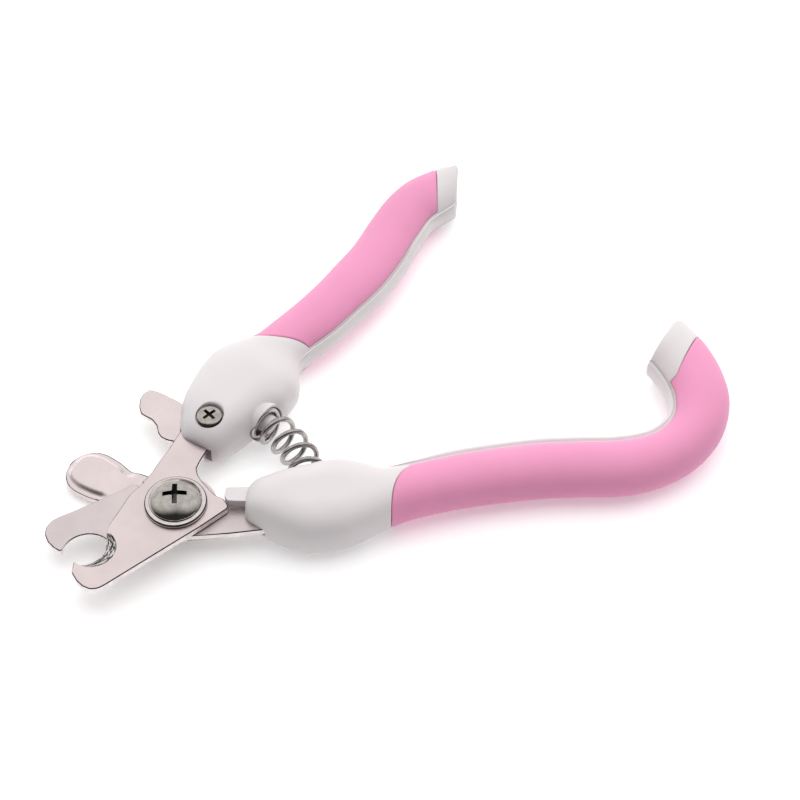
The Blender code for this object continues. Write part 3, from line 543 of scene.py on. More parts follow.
LOWER = Handle(
    path=[(13.6, 0.0), (20, -0.2), (27, 0.3), (34, 1.2), (41, 2.4), (47.4, 4.3),
          (55.2, 6.7), (63, 8.4), (71, 9.7), (79, 10.2), (87, 10.5), (94.5, 12.4),
          (99.8, 16.1), (103.2, 21.0), (104.5, 27.0), (103.6, 33.0), (101.5, 38.5),
          (98.6, 43.0), (97.0, 45.3)],
    side=1,
    inner=[(0, 4.2), (1, 5.6), (2, 6.3), (4, 7.0), (8, 8.0), (12, 8.9), (16, 9.6),
           (19, 9.6), (22, 8.9), (24.5, 7.9), (27, 6.9), (29.5, 6.6), (34, 6.7),
           (44, 7.0), (56, 7.1), (70, 7.1), (80, 6.8), (88, 6.3), (94, 6.2),
           (100, 6.5), (106, 6.7), (112, 7.1), (120.5, 7.5)],
    outer=[(0, 2.6), (1, 3.6), (2.5, 4.4), (4, 5.3), (6, 6.6), (8, 7.8), (10, 8.7),
           (12, 9.2), (15, 9.3), (18, 9.0), (21, 8.1), (24, 7.0), (27, 5.9),
           (30, 5.2), (34, 5.1), (44, 5.5), (56, 5.8), (76, 5.95), (84, 5.4),
           (90, 5.4), (96, 5.7), (104, 6.4), (112, 6.7), (120.5, 6.9)],
    half=[(0, 3.0), (1, 4.0), (2.5, 4.9), (5, 5.6), (8, 6.0), (11, 6.12), (18, 6.12),
          (22, 5.8), (26, 5.3), (30, 4.9), (36, 4.75), (90, 4.9), (104, 5.2), (120.5, 5.2)],
    mid=[(0, 5.95), (24, 5.95), (60, 5.3), (100, 5.22), (120.5, 5.22)],
    power=[(0, 2.2), (4, 2.4), (8, 2.6), (20, 2.6), (32, 2.1), (120.5, 2.1)],
    flange=[(0, 0.0), (26, 0.0), (34, 1.0), (120.5, 1.0)],
    rim=[(0, 2.6), (26, 2.6), (36, 2.1), (84, 2.1), (104, 1.9), (120.5, 2.1)],
    lip=[(0, 0.4), (28, 0.4), (36, 1.0), (46, 1.25), (80, 1.2), (92, 1.0), (102, 0.7), (120.5, 0.6)],
    start=[(-9, 26.4), (-5.4, 27.1), (-2, 28.2), (0.6, 29.6), (3.2, 31.7), (5, 33.6), (7, 34.0)],
    finish=[(-6.5, 114.7), (-4.8, 114.2), (-2.5, 112.9), (0.4, 110.7), (2.7, 108.5), (4.5, 106.6), (6.5, 106.0)],
    tip=[(-7.2, 0.6), (-5.2, 1.4), (0, -0.6), (7.2, -3.3)],
    total=118.6)

UPPER = Handle(
    path=[(3.1, 14.6), (7.0, 21.2), (11.4, 29.0), (15.6, 36.0), (20.3, 42.3),
          (25.7, 48.3), (30.6, 54.7), (35.1, 61.1), (39.1, 68.0), (42.4, 75.2),
          (45.8, 81.6), (49.5, 86.0), (53.0, 89.2), (57.2, 93.0), (62.0, 97.3)],
    side=-1,
    inner=[(0, 3.9), (1, 4.8), (3, 5.6), (6, 6.3), (10, 7.3), (14, 8.7), (18, 10.1),
           (21.5, 10.1), (24, 9.3), (26, 8.1), (28, 6.7), (30, 6.0), (34, 6.1),
           (40, 6.3), (48, 6.4), (56, 6.7), (64, 6.5), (72, 6.3), (78, 6.2),
           (82, 6.5), (86, 7.0), (95.5, 7.3)],
    outer=[(0, 3.8), (2, 5.6), (4, 6.8), (6, 8.0), (8, 8.8), (10, 9.4), (14, 10.1),
           (18, 10.6), (20.5, 10.6), (23, 10.0), (25, 8.9), (27, 7.7), (30, 6.4),
           (34, 6.3), (40, 6.5), (48, 6.5), (56, 6.8), (64, 6.5), (72, 6.4),
           (78, 6.4), (84, 6.35), (88.3, 5.45), (91.2, 4.55), (92.8, 3.8), (94.2, 2.7),
           (95.4, 1.7), (97, 1.0), (101, 0.6)],
    half=[(0, 3.0), (1, 4.0), (2.5, 4.9), (5, 5.6), (8, 6.0), (11, 6.12), (19, 6.12),
          (23, 5.8), (27, 5.2), (31, 4.9), (36, 4.75), (76, 4.9), (86, 5.2), (95.5, 5.2)],
    mid=[(0, 5.95), (24, 5.95), (60, 5.3), (80, 5.22), (95.5, 5.22)],
    power=[(0, 2.2), (4, 2.4), (8, 2.6), (20, 2.6), (33, 2.1), (95.5, 2.1)],
    flange=[(0, 0.0), (26, 0.0), (35, 1.0), (95.5, 1.0)],
    rim=[(0, 2.6), (26, 2.6), (36, 1.8), (80, 1.8), (95.5, 2.2)],
    lip=[(0, 0.4), (28, 0.4), (36, 0.5), (64, 0.45), (78, 0.22), (95.5, 0.25)],
    start=[(-6, 27.4), (-4.5, 28.2), (-1, 29.9), (2.9, 32.2), (5.5, 33.8), (7, 34.3)],
    finish=[(-6, 90.3), (-4.2, 90.2), (-2, 89.6), (1.2, 87.6), (4.5, 84.4), (6.5, 82.6)],
    tip=[(-6.4, -4.2), (-5.25, -1.3), (-3.8, 1.6), (-1.2, 4.6), (2.0, 2.6), (7.2, -2.5)],
    total=90.3,
    square=([(-6.5, 50.6), (-3.0, 51.4), (0.0, 51.7), (7.0, 51.9)], [(-6.5, 56.3), (0.0, 56.6), (7.0, 56.2)]))

NG, NR = 61, 34


def columns():
    """Round the section: grip side first, then the rim."""
    return [i / (NG - 1) for i in range(NG)] + [1 + (i + 1) / (NR + 1) for i in range(NR)]


def fill_cap(bm_faces, base, n):
    """Close a ring of n points from side to side, top column to its mirror."""
    top = [NG // 2 - i for i in range(NG // 2 + 1)] + [NG + NR - 1 - i for i in range(NR // 2)]
    bot = [NG // 2 + i for i in range(NG // 2 + 1)] + [NG + i for i in range(NR // 2)]
    for i in range(len(top) - 1):
        q = [base + top[i], base + top[i + 1], base + bot[i + 1], base + bot[i]]
        u = []
        for x in q:
            if x not in u:
                u.append(x)
        if len(u) > 2:
            bm_faces.append(u)


def core_mesh(h, n_front, n_mid):
    cols = columns()
    nc = len(cols)
    sunk = GRIP_T + 0.1
    start = [h.s_start(q) for q in cols]
    end = [h.s_finish(q) for q in cols]
    tip = [h.s_tip(q) for q in cols]
    verts, rows = [], []

    def row(f):
        base = len(verts)
        for i, q in enumerate(cols):
            verts.append(f(i, q))
        rows.append(base)
    for d, k in ((0.0, 0.72), (0.0, 0.86), (0.06, 0.93), (0.22, 0.975)):
        row(lambda i, q: h.point(d, q, 0, 0, k))
    for j in range(n_front):
        u = (j / (n_front - 1)) ** 1.35
        row(lambda i, q: h.point(0.55 + (start[i] - 0.3 - 0.55) * u, q))
    for d, o in ((0.16, 0.02), (0.06, 0.09), (0.0, 0.22)):
        row(lambda i, q: h.point(start[i] - d, q, o if i < NG else 0.0))
    for j in range(n_mid):
        u = j / (n_mid - 1)
        row(lambda i, q: h.point(start[i] + 0.02 + (end[i] - start[i] - 0.04) * u, q, sunk if i < NG else 0.0))
    for d, o in ((0.0, 0.22), (0.06, 0.09), (0.16, 0.02)):
        row(lambda i, q: h.point(end[i] + d, q, o if i < NG else 0.0))
    for j in range(9):
        u = j / 8
        row(lambda i, q: h.point(end[i] + 0.3 + (tip[i] - 0.75 - end[i] - 0.3) * u, q))
    for d, k in ((0.45, 0.992), (0.2, 0.965), (0.05, 0.915), (0.0, 0.86), (0.03, 0.78)):
        row(lambda i, q: h.point(tip[i] - d, q, 0, 0, k))
    faces = []
    for a, b in zip(rows[:-1], rows[1:]):
        for c in range(nc):
            d = (c + 1) % nc
            faces.append([a + c, a + d, b + d, b + c])
    fill_cap(faces, rows[0], nc)
    fill_cap(faces, rows[-1], nc)
    return verts, faces


def grip_mesh(h, n_rows):
    """C-shaped skin with softened edges, flush with the housings."""
    cols = [i / (NG - 1) for i in range(NG)]
    start = [h.s_start(q) + 0.10 for q in cols]
    end = [h.s_finish(q) - 0.10 for q in cols]
    r = 0.34

    def soft(d):
        return r - math.sqrt(max(0.0, r * r - (r - d) ** 2)) if d < r else 0.0
    lead = [0.0, 0.03, 0.09, 0.18, 0.3, 0.5]
    verts, rows = [], []
    side = [soft(d) for d in (0.01, 0.07, 0.17, 0.30)]

    def across(i):
        return side[min(i, NG - 1 - i)] if min(i, NG - 1 - i) < len(side) else 0.0
    plan = [("a", d) for d in lead] + [("m", j / (n_rows + 1)) for j in range(1, n_rows + 1)] + [("b", d) for d in lead[::-1]]

    def place(kind, d, i):
        if kind == "a":
            return start[i] + d
        if kind == "b":
            return end[i] - d
        return start[i] + 0.5 + (end[i] - start[i] - 1.0) * d
    for kind, d in plan:
        rows.append(len(verts))
        e = soft(d) if kind != "m" else 0.0
        for i, q in enumerate(cols):
            verts.append(h.point(place(kind, d, i), q, max(e, across(i)), math.radians(0.6)))
    n_out = len(verts)
    for kind, d in plan:
        for i, q in enumerate(cols):
            verts.append(h.point(place(kind, d, i), q, GRIP_T, math.radians(0.6)))
    faces = []
    for a, b in zip(rows[:-1], rows[1:]):
        for c in range(NG - 1):
            q = [a + c, a + c + 1, b + c + 1, b + c]
            faces.append(q)
            faces.append([n_out + x for x in q[::-1]])
        for c in (0, NG - 1):
            faces.append([a + c, b + c, n_out + b + c, n_out + a + c])
    for a in (rows[0], rows[-1]):
        for c in range(NG - 1):
            faces.append([a + c, a + c + 1, n_out + a + c + 1, n_out + a + c])
    return verts, faces


# ------------------------------------------------------------------- handles
def radial(angle, r=SPRING_R):
    a = math.radians(angle)
    return r * math.cos(a), r * math.sin(a)


def spring_socket(face_angle, out_len, depth, direction, r=SOCKET_R):
    x, y = radial(face_angle)
    a = math.radians(face_angle)
    t = (-math.sin(a) * direction, math.cos(a) * direction)
    return tube_solid((x - t[0] * out_len, y - t[1] * out_len, MID_Z),
                      (x + t[0] * depth, y + t[1] * depth, MID_Z), r, r)


lower_core = make("lower_handle_body", *core_mesh(LOWER, 34, 74), WHITE)
tang = [(9.0, -6.5), (18.0, -5.3), (35.4, -3.7), (35.4, 3.7), (18.0, 2.2), (9.0, 0.6)]
stop = [(9.6, 3.3), (9.36, 1.42), (10.1, 0.15), (15.6, -0.1), (15.6, 3.5)]
cut(lower_core, [
    (*prism(fillet(stop, 0.4), 6.3, 8.4), 'UNION'),
    (*spring_socket(22.5, 6.0, 4.6, -1), 'DIFFERENCE'),
    (*prism(tang, LOWER_BLADE_Z - 0.12, LOWER_BLADE_Z + BLADE_T + 0.12), 'DIFFERENCE')])
finish_smooth(lower_core, 42.0)
lower_grip = make("lower_soft_grip", *grip_mesh(LOWER, 76), PINK, 50.0)

def round_corner(verts, at, along, across, r):
    """Ease one plan corner of a handle's end to radius r."""
    (ax, ay), (bx_, by_) = along, across
    det = ax * by_ - ay * bx_
    for i, (x, y, z) in enumerate(verts):
        dx, dy = x - at[0], y - at[1]
        a, b = (dx * by_ - dy * bx_) / det, (dy * ax - dx * ay) / det
        if a < r and b < r:
            m, n = r - a, r - b
            k = max(m, n) / math.hypot(m, n)
            a, b = r - m * k, r - n * k
            verts[i] = (at[0] + a * ax + b * bx_, at[1] + a * ay + b * by_, z)


def unit(p, q):
    d = math.hypot(q[0] - p[0], q[1] - p[1])
    return (q[0] - p[0]) / d, (q[1] - p[1]) / d


up_verts, up_faces = core_mesh(UPPER, 34, 56)
nc_ = len(columns())
last = len(up_verts) // nc_ - 6
rim_row, back_row = (up_verts[k * nc_:(k + 1) * nc_] for k in (last, last - 5))
hi = max(range(nc_), key=lambda i: rim_row[i][1])
lo = min(range(nc_), key=lambda i: rim_row[i][1])
corners = []
for i, j, r in ((hi, lo, 3.1), (lo, hi, 1.2)):
    u, v = unit(rim_row[i], back_row[i]), unit(rim_row[i], rim_row[j])
    corners.append(((rim_row[i][0] - 0.7 * u[0], rim_row[i][1] - 0.7 * u[1]), u, v, r))
for c in corners:
    round_corner(up_verts, *c)
upper_core = make("upper_handle_body", up_verts, up_faces, WHITE)
bx, by = radial(BOSS_ANGLE, 27.3)
ba = math.radians(BOSS_ANGLE)
arm_pocket = [(5.6, 12.0), (8.55, 18.3), (9.35, 21.9), (12.95, 31.15), (8.5, 33.5),
              (2.1, 23.2), (-0.9, 18.0), (-3.2, 13.2)]
lever_slot = [(9.9, 20.0), (8.5, 22.5), (5.8, 24.3), (-2.5, 30.9), (-12.0, 31.4), (-14.0, 12.0),
              (-3.0, 3.0), (1.0, 6.5), (7.6, 14.9), (9.9, 17.5)]
recess = [(0.0, 13.0), (3.6, 13.0), (3.25, 11.9), (3.0, 11.72), (2.86, 11.45), (2.85, 10.1), (0.0, 10.1)]
cut(upper_core, [
    (*tube_solid((bx, by, MID_Z), (bx - math.sin(ba) * 7.5, by + math.cos(ba) * 7.5, MID_Z), 4.3, 5.0), 'UNION'),
    (*spring_socket(BOSS_ANGLE, 3.0, 2.3, 1, 3.98), 'DIFFERENCE'),
    (*tube_solid((bx + math.sin(ba) * 1.1, by - math.cos(ba) * 1.1, MID_Z),
                 (bx - math.sin(ba) * 4.0, by + math.cos(ba) * 4.0, MID_Z), 1.9, 2.35), 'UNION'),
    (*prism(arm_pocket, UPPER_BLADE_Z - 0.12, UPPER_BLADE_Z + BLADE_T + 0.12), 'DIFFERENCE'),
    (*prism(lever_slot, 4.35, UPPER_BLADE_Z), 'DIFFERENCE'),
    (*lathe(LOCK[0], LOCK[1], recess), 'DIFFERENCE'),
    (*prism(circle(LOCK[0], LOCK[1], 1.8), 1.5, 11.0), 'DIFFERENCE'),
    (*prism(circle(LOCK[0], LOCK[1], 3.55, 6), -1.0, 2.8), 'DIFFERENCE')])
finish_smooth(upper_core, 42.0)
upper_grip = make("upper_soft_grip", *grip_mesh(UPPER, 58), PINK, 50.0)


# -------------------------------------------------------------------- blades
def polar(pairs):
    return [(r * math.cos(math.radians(a)), r * math.sin(math.radians(a))) for a, r in pairs]


def shade_notch(ob, centre, material):
    """Give the ground slope of the notch its own finish."""
    ob.data.materials.append(material)
    c = np.array([centre[0], centre[1]])
    for p in ob.data.polygons:
        xy = np.array([p.center.x / MM - PIVOT_X, p.center.y / MM - PIVOT_Y])
        if 0.12 < abs(p.normal.z) < 0.93 and np.hypot(*(xy - c)) < centre[2] + 3.2:
            p.material_index = 1


closed_tip = PAWL_ANGLE - CLOSE_ANGLE
cx, cy, cr = NOTCH_LO
lower_outline = (
    [(-8.7, 6.2), (-10.8, 4.7), (-13.8, 3.0), (-17.0, 1.1), (-20.6, -0.9), (-22.5, -1.8),
     (-24.0, -2.9), (-24.9, -4.4), (-25.0, -6.2), (-24.2, -8.0), (-22.9, -9.4),
     (-21.5, -10.3)]
    + arc(cx, cy, cr, 156, 52, 36)
    + [(-12.2, -8.0), (-9.0, -9.4), (-5.0, -8.9), (-1.5, -7.4), (2.1, -6.7),
       (10.7, -6.0), (18.0, -5.0), (35.0, -3.4), (35.0, 3.4), (18.0, 1.9),
       (10.0, 0.4), (7.6, 3.0)]
    + arc(0, 0, 8.2, 28, 70, 18)
    + polar([(closed_tip - 38, 8.2), (closed_tip - 32, 7.85), (closed_tip - 22, 7.15),
             (closed_tip - 12, 6.75), (closed_tip + 1.2, 6.6), (closed_tip + 1.8, 7.4),
             (closed_tip + 6, 7.1), (closed_tip + 12, 6.85), (closed_tip + 19, 6.65),
             (closed_tip + 28, 6.6), (closed_tip + 34, 6.8)]))
lower_blade = make("lower_blade_plate", *plate(fillet(lower_outline, 1.6), LOWER_BLADE_Z, LOWER_BLADE_Z + BLADE_T, 0.17, 9.3),
                   STEEL_LO_PAINTED_SHADE, smooth=False)
z_edge, z_far = LOWER_BLADE_Z + BLADE_T - 0.22, LOWER_BLADE_Z - 0.6
cut(lower_blade, [
    (*prism(circle(0, 0, PIVOT_HOLE_R), 3.0, 7.0), 'DIFFERENCE'),
    (*tube_solid((cx, cy + 2.0 * (z_edge - z_far) / 1.3, z_far),
                 (cx, cy - 2.0 * 0.8 / 1.3, z_edge + 0.8), cr, cr, 96), 'DIFFERENCE')])
finish_smooth(lower_blade, 24.0)
shade_notch(lower_blade, NOTCH_LO, GROUND)
shade_edges(lower_blade, EDGE_PAINTED_SHADE, WALL)

ux, uy, ur = NOTCH_UP
upper_outline = (
    [(-12.8, -5.7)] + arc(ux, uy, ur, 14, -104, 38)
    + [(-18.6, -16.2), (-17.5, -18.1), (-16.2, -19.4), (-14.7, -20.1), (-13.2, -19.9),
       (-12.1, -19.2), (-2.2, -11.3), (5.0, -5.6), (10.4, -0.9), (9.1, 1.3), (7.5, 2.0),
       (6.0, 3.8), (4.9, 5.2), (3.8, 7.0), (3.4, 8.6), (4.0, 10.5), (5.0, 12.8),
       (8.2, 18.5), (9.0, 22.0), (12.5, 31.0), (8.6, 33.0), (2.4, 23.0),
       (-0.5, 17.9), (-2.5, 13.3), (-3.9, 10.7), (-5.3, 7.7), (-7.0, 4.8),
       (-9.1, 2.3), (-10.1, 0.1), (-11.2, -2.3), (-12.0, -4.0)])
upper_blade = make("upper_blade_plate", *plate(fillet(upper_outline, 1.2), UPPER_BLADE_Z, UPPER_BLADE_Z + BLADE_T),
                   STEEL_UP, smooth=False)
z_edge, z_far = UPPER_BLADE_Z + 0.22, UPPER_BLADE_Z + BLADE_T + 0.6
k = (z_far - z_edge) / 1.25
cut(upper_blade, [
    (*prism(circle(0, 0, PIVOT_HOLE_R), 5.0, 9.0), 'DIFFERENCE'),
    (*prism(circle(LOCK[0], LOCK[1], 1.8), 5.0, 9.0), 'DIFFERENCE'),
    (*tube_solid((ux - 2.1 * 0.8 / 1.25, uy + 1.3 * 0.8 / 1.25, z_edge - 0.8),
                 (ux + 2.1 * k, uy - 1.3 * k, z_far), ur, ur, 96), 'DIFFERENCE')])
finish_smooth(upper_blade, 24.0)
shade_notch(upper_blade, NOTCH_UP, GROUND)
shade_edges(upper_blade, EDGE_PAINTED_SHADE, WALL)


# ------------------------------------------------------------------ fasteners
def cross(cx, cy, z0, z1, half, arm, a0=0.0):
    v = []
    for z, k in ((z0, 0.5), (z1, 1.15)):
        h, w = half * k, arm * (0.7 + 0.3 * k)
        pts = [(h, w), (w, w), (w, h), (-w, h), (-w, w), (-h, w), (-h, -w), (-w, -w),
               (-w, -h), (w, -h), (w, -w), (h, -w)]
        c, s = math.cos(a0), math.sin(a0)
        v += [(cx + x * c - y * s, cy + x * s + y * c, z) for x, y in pts]
    n = 12
    f = [list(range(n)), list(range(n, 2 * n))[::-1]]
    f += [[i, n + i, n + (i + 1) % n, (i + 1) % n] for i in range(n)]
    return v, f


z_head = UPPER_BLADE_Z + BLADE_T + 0.1 + WASHER_T + 0.1
dome = [(0.0, z_head + HEAD_H)]
for i in range(1, 23):
    r = HEAD_R * math.sin(math.radians(90 * i / 22))
    dome.append((r, z_head + 0.3 + (HEAD_H - 0.3) * max(0.0, 1 - (r / HEAD_R) ** 2) ** 0.74))
dome += [(HEAD_R, z_head + 0.12), (HEAD_R - 0.12, z_head), (PIVOT_R, z_head), (PIVOT_R, 0.75),
         (PIVOT_R - 0.4, 0.35), (0.0, 0.35)]
pivot_screw = make("pivot_screw_domed", *lathe(0, 0, dome, 96), BRIGHT, smooth=False)
cut(pivot_screw, [(*cross(0, 0, z_head + 0.5, z_head + HEAD_H + 0.4, 2.5, 0.5, math.radians(3)), 'DIFFERENCE'),
                  (*lathe(0, 0, [(0.0, z_head + 2.9), (0.85, z_head + 2.9), (0.7, z_head + 1.0), (0.0, z_head + 0.6)], 24),
                   'DIFFERENCE')])
finish_smooth(pivot_screw, 32.0)
# painted shade: the head's side and the bottom of its cross recess get the near-black metal
pivot_screw.data.materials.append(SCREW_PAINTED_SHADE)
for p in pivot_screw.data.polygons:
    far = math.hypot(p.center.x / MM - PIVOT_X, p.center.y / MM - PIVOT_Y)
    if abs(p.normal.z) < 0.42 and far > HEAD_R - 0.55 or (far < 2.6 and p.center.z / MM < z_head + HEAD_H - 0.62):
        p.material_index = 1
z = UPPER_BLADE_Z + BLADE_T + 0.1
washer_ring = [(PIVOT_HOLE_R, z), (WASHER_R - 0.12, z), (WASHER_R - 0.03, z + 0.06), (WASHER_R, z + 0.15),
               (WASHER_R, z + WASHER_T - 0.28), (WASHER_R - 0.06, z + WASHER_T - 0.1),
               (WASHER_R - 0.22, z + WASHER_T), (PIVOT_HOLE_R, z + WASHER_T)]
pivot_washer = make("pivot_washer_ring", *lathe(0, 0, washer_ring, 96), RING)
shade_edges(pivot_washer, EDGE_PAINTED_SHADE, WALL)
nut = make("pivot_nut_hex", *prism(circle(0, 0, 4.6, 6, math.radians(30)), 0.4, 2.45), DULL, smooth=False)
bevel_edges(nut, 0.25)
pivot_nut = cut(nut, [(*prism(circle(0, 0, PIVOT_HOLE_R), -1.0, 3.0), 'DIFFERENCE')])
finish_smooth(pivot_nut, 28.0)
guard_washer = make("guard_spring_ring", *lathe(0, 0, [(PIVOT_HOLE_R, 2.6), (4.7, 2.6), (4.7, 3.2), (PIVOT_HOLE_R, 3.2)]), DULL)

lx, ly = LOCK
screw = [(0.0, 11.72), (1.2, 11.70), (2.0, 11.60), (2.32, 11.50), (2.46, 11.38), (2.5, 11.22), (2.5, 10.35),
         (1.45, 10.35), (1.45, 0.6), (0.0, 0.6)]
lock_screw = make("lock_screw_small", *lathe(lx, ly, screw, 72), BRIGHT, smooth=False)
cut(lock_screw, [(*cross(lx, ly, 10.6, 12.2, 1.62, 0.34, math.radians(43)), 'DIFFERENCE')])
finish_smooth(lock_screw, 32.0)
# painted shade: the head's side and the bottom of its cross recess get the near-black metal
lock_screw.data.materials.append(SCREW_PAINTED_SHADE)
for p in lock_screw.data.polygons:
    far = math.hypot(p.center.x / MM - PIVOT_X - lx, p.center.y / MM - PIVOT_Y - ly)
    if abs(p.normal.z) < 0.42 and far > 2.35 or (far < 1.75 and p.center.z / MM < 11.5):
        p.material_index = 1
lock_washer = make("lock_spring_ring", *lathe(lx, ly, [(1.65, 3.85), (3.3, 3.85), (3.3, 4.45), (1.65, 4.45)]), DULL)
nut = make("lock_nut_hex", *prism(circle(lx, ly, 3.15, 6), 0.5, 2.5), DULL, smooth=False)
bevel_edges(nut, 0.2)
lock_nut = cut(nut, [(*prism(circle(lx, ly, 1.6), -1.0, 4.0), 'DIFFERENCE')])
finish_smooth(lock_nut, 28.0)


# ---------------------------------------------------------------- nail guard
guard_width = curve([(2.0, 5.0), (6.0, 5.0), (9.0, 4.5), (12.0, 4.2), (14.5, 4.4), (17.0, 4.95),
                     (19.0, 5.25), (21.2, 5.35), (23.0, 5.05), (24.4, 4.3), (25.5, 3.2), (26.1, 2.1), (26.5, 0.6)])


def guard_mesh(m=64):
    width = guard_width
    rise = curve([(2.0, 0.0), (10.5, 0.0), (11.5, -0.1), (15.2, -1.85), (16.2, -2.0), (26.5, -2.0)])
    crown = curve([(11.5, 0.0), (13.0, 0.45), (15.0, 0.9), (18.0, 1.15), (26.5, 1.25)])
    rs = []
    for a, b in zip((2.0, 9.0, 15.5, 23.0, 25.2, 26.1), (9.0, 15.5, 23.0, 25.2, 26.1, 26.5)):
        n = max(3, int((b - a) / (0.35 if a < 15 else 0.22)) if a < 25 else 6)
        rs += [a + (b - a) * i / n for i in range(n)]
    rs.append(26.5)
    a = math.radians(GUARD_ANGLE)
    t, n = (math.cos(a), math.sin(a)), (-math.sin(a), math.cos(a))
    verts = []
    for top in (1, 0):
        for r in rs:
            for j in range(m + 1):
                q = -1 + 2 * j / m
                w = width(r) * q
                # crown: flat narrow lip, a steep flank towards the jaws' far
                # side and an easy one behind, running out along the neck
                side, end = (1 - abs(q)) * width(r), (26.5 - r) * 1.15
                edge = -0.45 * math.log(math.exp(-side / 0.45) + math.exp(-end / 0.45))
                soft = 0.30 + 0.16 * (0.5 - 0.5 * q)
                flank = 1 / (1 + math.exp(-(edge - 1.0 - soft) / soft))
                z = GUARD_Z + rise(r) + crown(r) * flank
                if top and abs(q) > 0.955:
                    z -= 0.12
                verts.append((t[0] * r + n[0] * w, t[1] * r + n[1] * w, z + (GUARD_T if top else 0.0)))
    c, rows = m + 1, len(rs)
    k = rows * c
    faces = []
    for i in range(rows - 1):
        for j in range(m):
            q = [i * c + j, i * c + j + 1, (i + 1) * c + j + 1, (i + 1) * c + j]
            faces.append(q)
            faces.append([k + x for x in q[::-1]])
        for j in (0, m):
            p, s = i * c + j, (i + 1) * c + j
            faces.append([p, s, k + s, k + p])
    for i in (0, rows - 1):
        for j in range(m):
            p, s = i * c + j, i * c + j + 1
            faces.append([p, s, k + s, k + p])
    return verts, faces


guard = make("nail_guard_spoon", *guard_mesh(), STAMPED, smooth=False)
cut(guard, [(*prism(circle(0, 0, 6.4, 72), GUARD_Z, GUARD_Z + GUARD_T), 'UNION'),
            (*prism(circle(0, 0, PIVOT_HOLE_R), GUARD_Z - 1, GUARD_Z + 2), 'DIFFERENCE')])
finish_smooth(guard, 38.0)
# painted shade: the outermost strip of the guard's top rim gets the near-black edge metal, a dark line standing in
# for shade and reflection
guard.data.materials.append(EDGE_PAINTED_SHADE)
ga = math.radians(GUARD_ANGLE)
for p in guard.data.polygons:
    gx, gy = p.center.x / MM - PIVOT_X, p.center.y / MM - PIVOT_Y
    gr, gq = gx * math.cos(ga) + gy * math.sin(ga), abs(gy * math.cos(ga) - gx * math.sin(ga))
    if p.normal.z > 0.1 and gr > 8 and (gr > 26.28 or guard_width(min(gr, 26.5)) - gq < 0.2):
        p.material_index = 1

# ---------------------------------------------------------------- lock lever
qa = math.radians(PAWL_ANGLE)
Q = (8.55 * math.cos(qa), 8.55 * math.sin(qa))
d = math.hypot(Q[0] - lx, Q[1] - ly)
ex, ey = (Q[0] - lx) / d, (Q[1] - ly) / d
nx, ny = -ey, ex
lever_outline = (
    [(-7.7, 30.7), (-6.0, 30.0), (-4.3, 29.1), (-2.6, 28.0), (-1.1, 27.0), (2.0, 24.8), (4.4, 23.0)]
    + arc(lx, ly, 3.8, 95, -85, 24)
    + [(lx + ex * 4.5 + nx * 0.6, ly + ey * 4.5 + ny * 0.6), Q, (Q[0] - nx * 1.5, Q[1] - ny * 1.5),
       (-3.6, 10.4), (-2.2, 13.4), (-0.9, 16.2),
       (-1.6, 16.9), (-3.2, 17.3), (-4.5, 18.1), (-5.2, 19.4), (-5.5, 21.0), (-6.6, 22.6),
       (-7.9, 23.4), (-9.0, 24.2), (-9.5, 26.0), (-9.5, 27.9), (-8.9, 29.6)])
lever = make("lock_lever_plate", *plate(fillet(lever_outline, 1.4), 4.65, 5.8), STAMPED, smooth=False)
cut(lever, [(*prism(circle(lx, ly, 1.55), 3.0, 7.0), 'DIFFERENCE')])
finish_smooth(lever, 24.0)
shade_edges(lever, EDGE_PAINTED_SHADE, WALL)


# ------------------------------------------------------------- return spring
def spring_mesh(per_turn=40, sides=14):
    n = int(SPRING_TURNS * per_turn)

    def pitch(x):
        return (min(x, 0.85) * 0.45 + max(min(x, SPRING_TURNS - 0.85) - 0.85, 0)
                + max(x - (SPRING_TURNS - 0.85), 0) * 0.45)
    cl = []
    for i in range(n + 1):
        turn = i / n * SPRING_TURNS
        th = math.radians(SPRING_FROM + (SPRING_TO - SPRING_FROM) * pitch(turn) / pitch(SPRING_TURNS))
        a = math.radians(SPRING_PHASE) - 2 * math.pi * turn
        r = SPRING_R + SPRING_COIL_R * math.cos(a)
        cl.append(Vector((r * math.cos(th), r * math.sin(th), MID_Z + SPRING_COIL_R * math.sin(a))))
    verts, faces = [], []
    for i, c in enumerate(cl):
        t = (cl[min(i + 1, n)] - cl[max(i - 1, 0)]).normalized()
        th = math.atan2(c.y, c.x)
        axis = Vector((-math.sin(th), math.cos(th), 0))
        u = t.cross(axis).normalized()
        w = t.cross(u).normalized()
        for j in range(sides):
            b = 2 * math.pi * j / sides
            verts.append(tuple(c + (u * math.cos(b) + w * math.sin(b)) * SPRING_WIRE_R))
    for i in range(n):
        for j in range(sides):
            q = (j + 1) % sides
            faces.append([i * sides + j, i * sides + q, (i + 1) * sides + q, (i + 1) * sides + j])
    faces.append(list(range(sides))[::-1])
    faces.append([n * sides + j for j in range(sides)])
    return verts, faces


spring = make("return_coil_spring", *spring_mesh(), WIRE, 60.0)

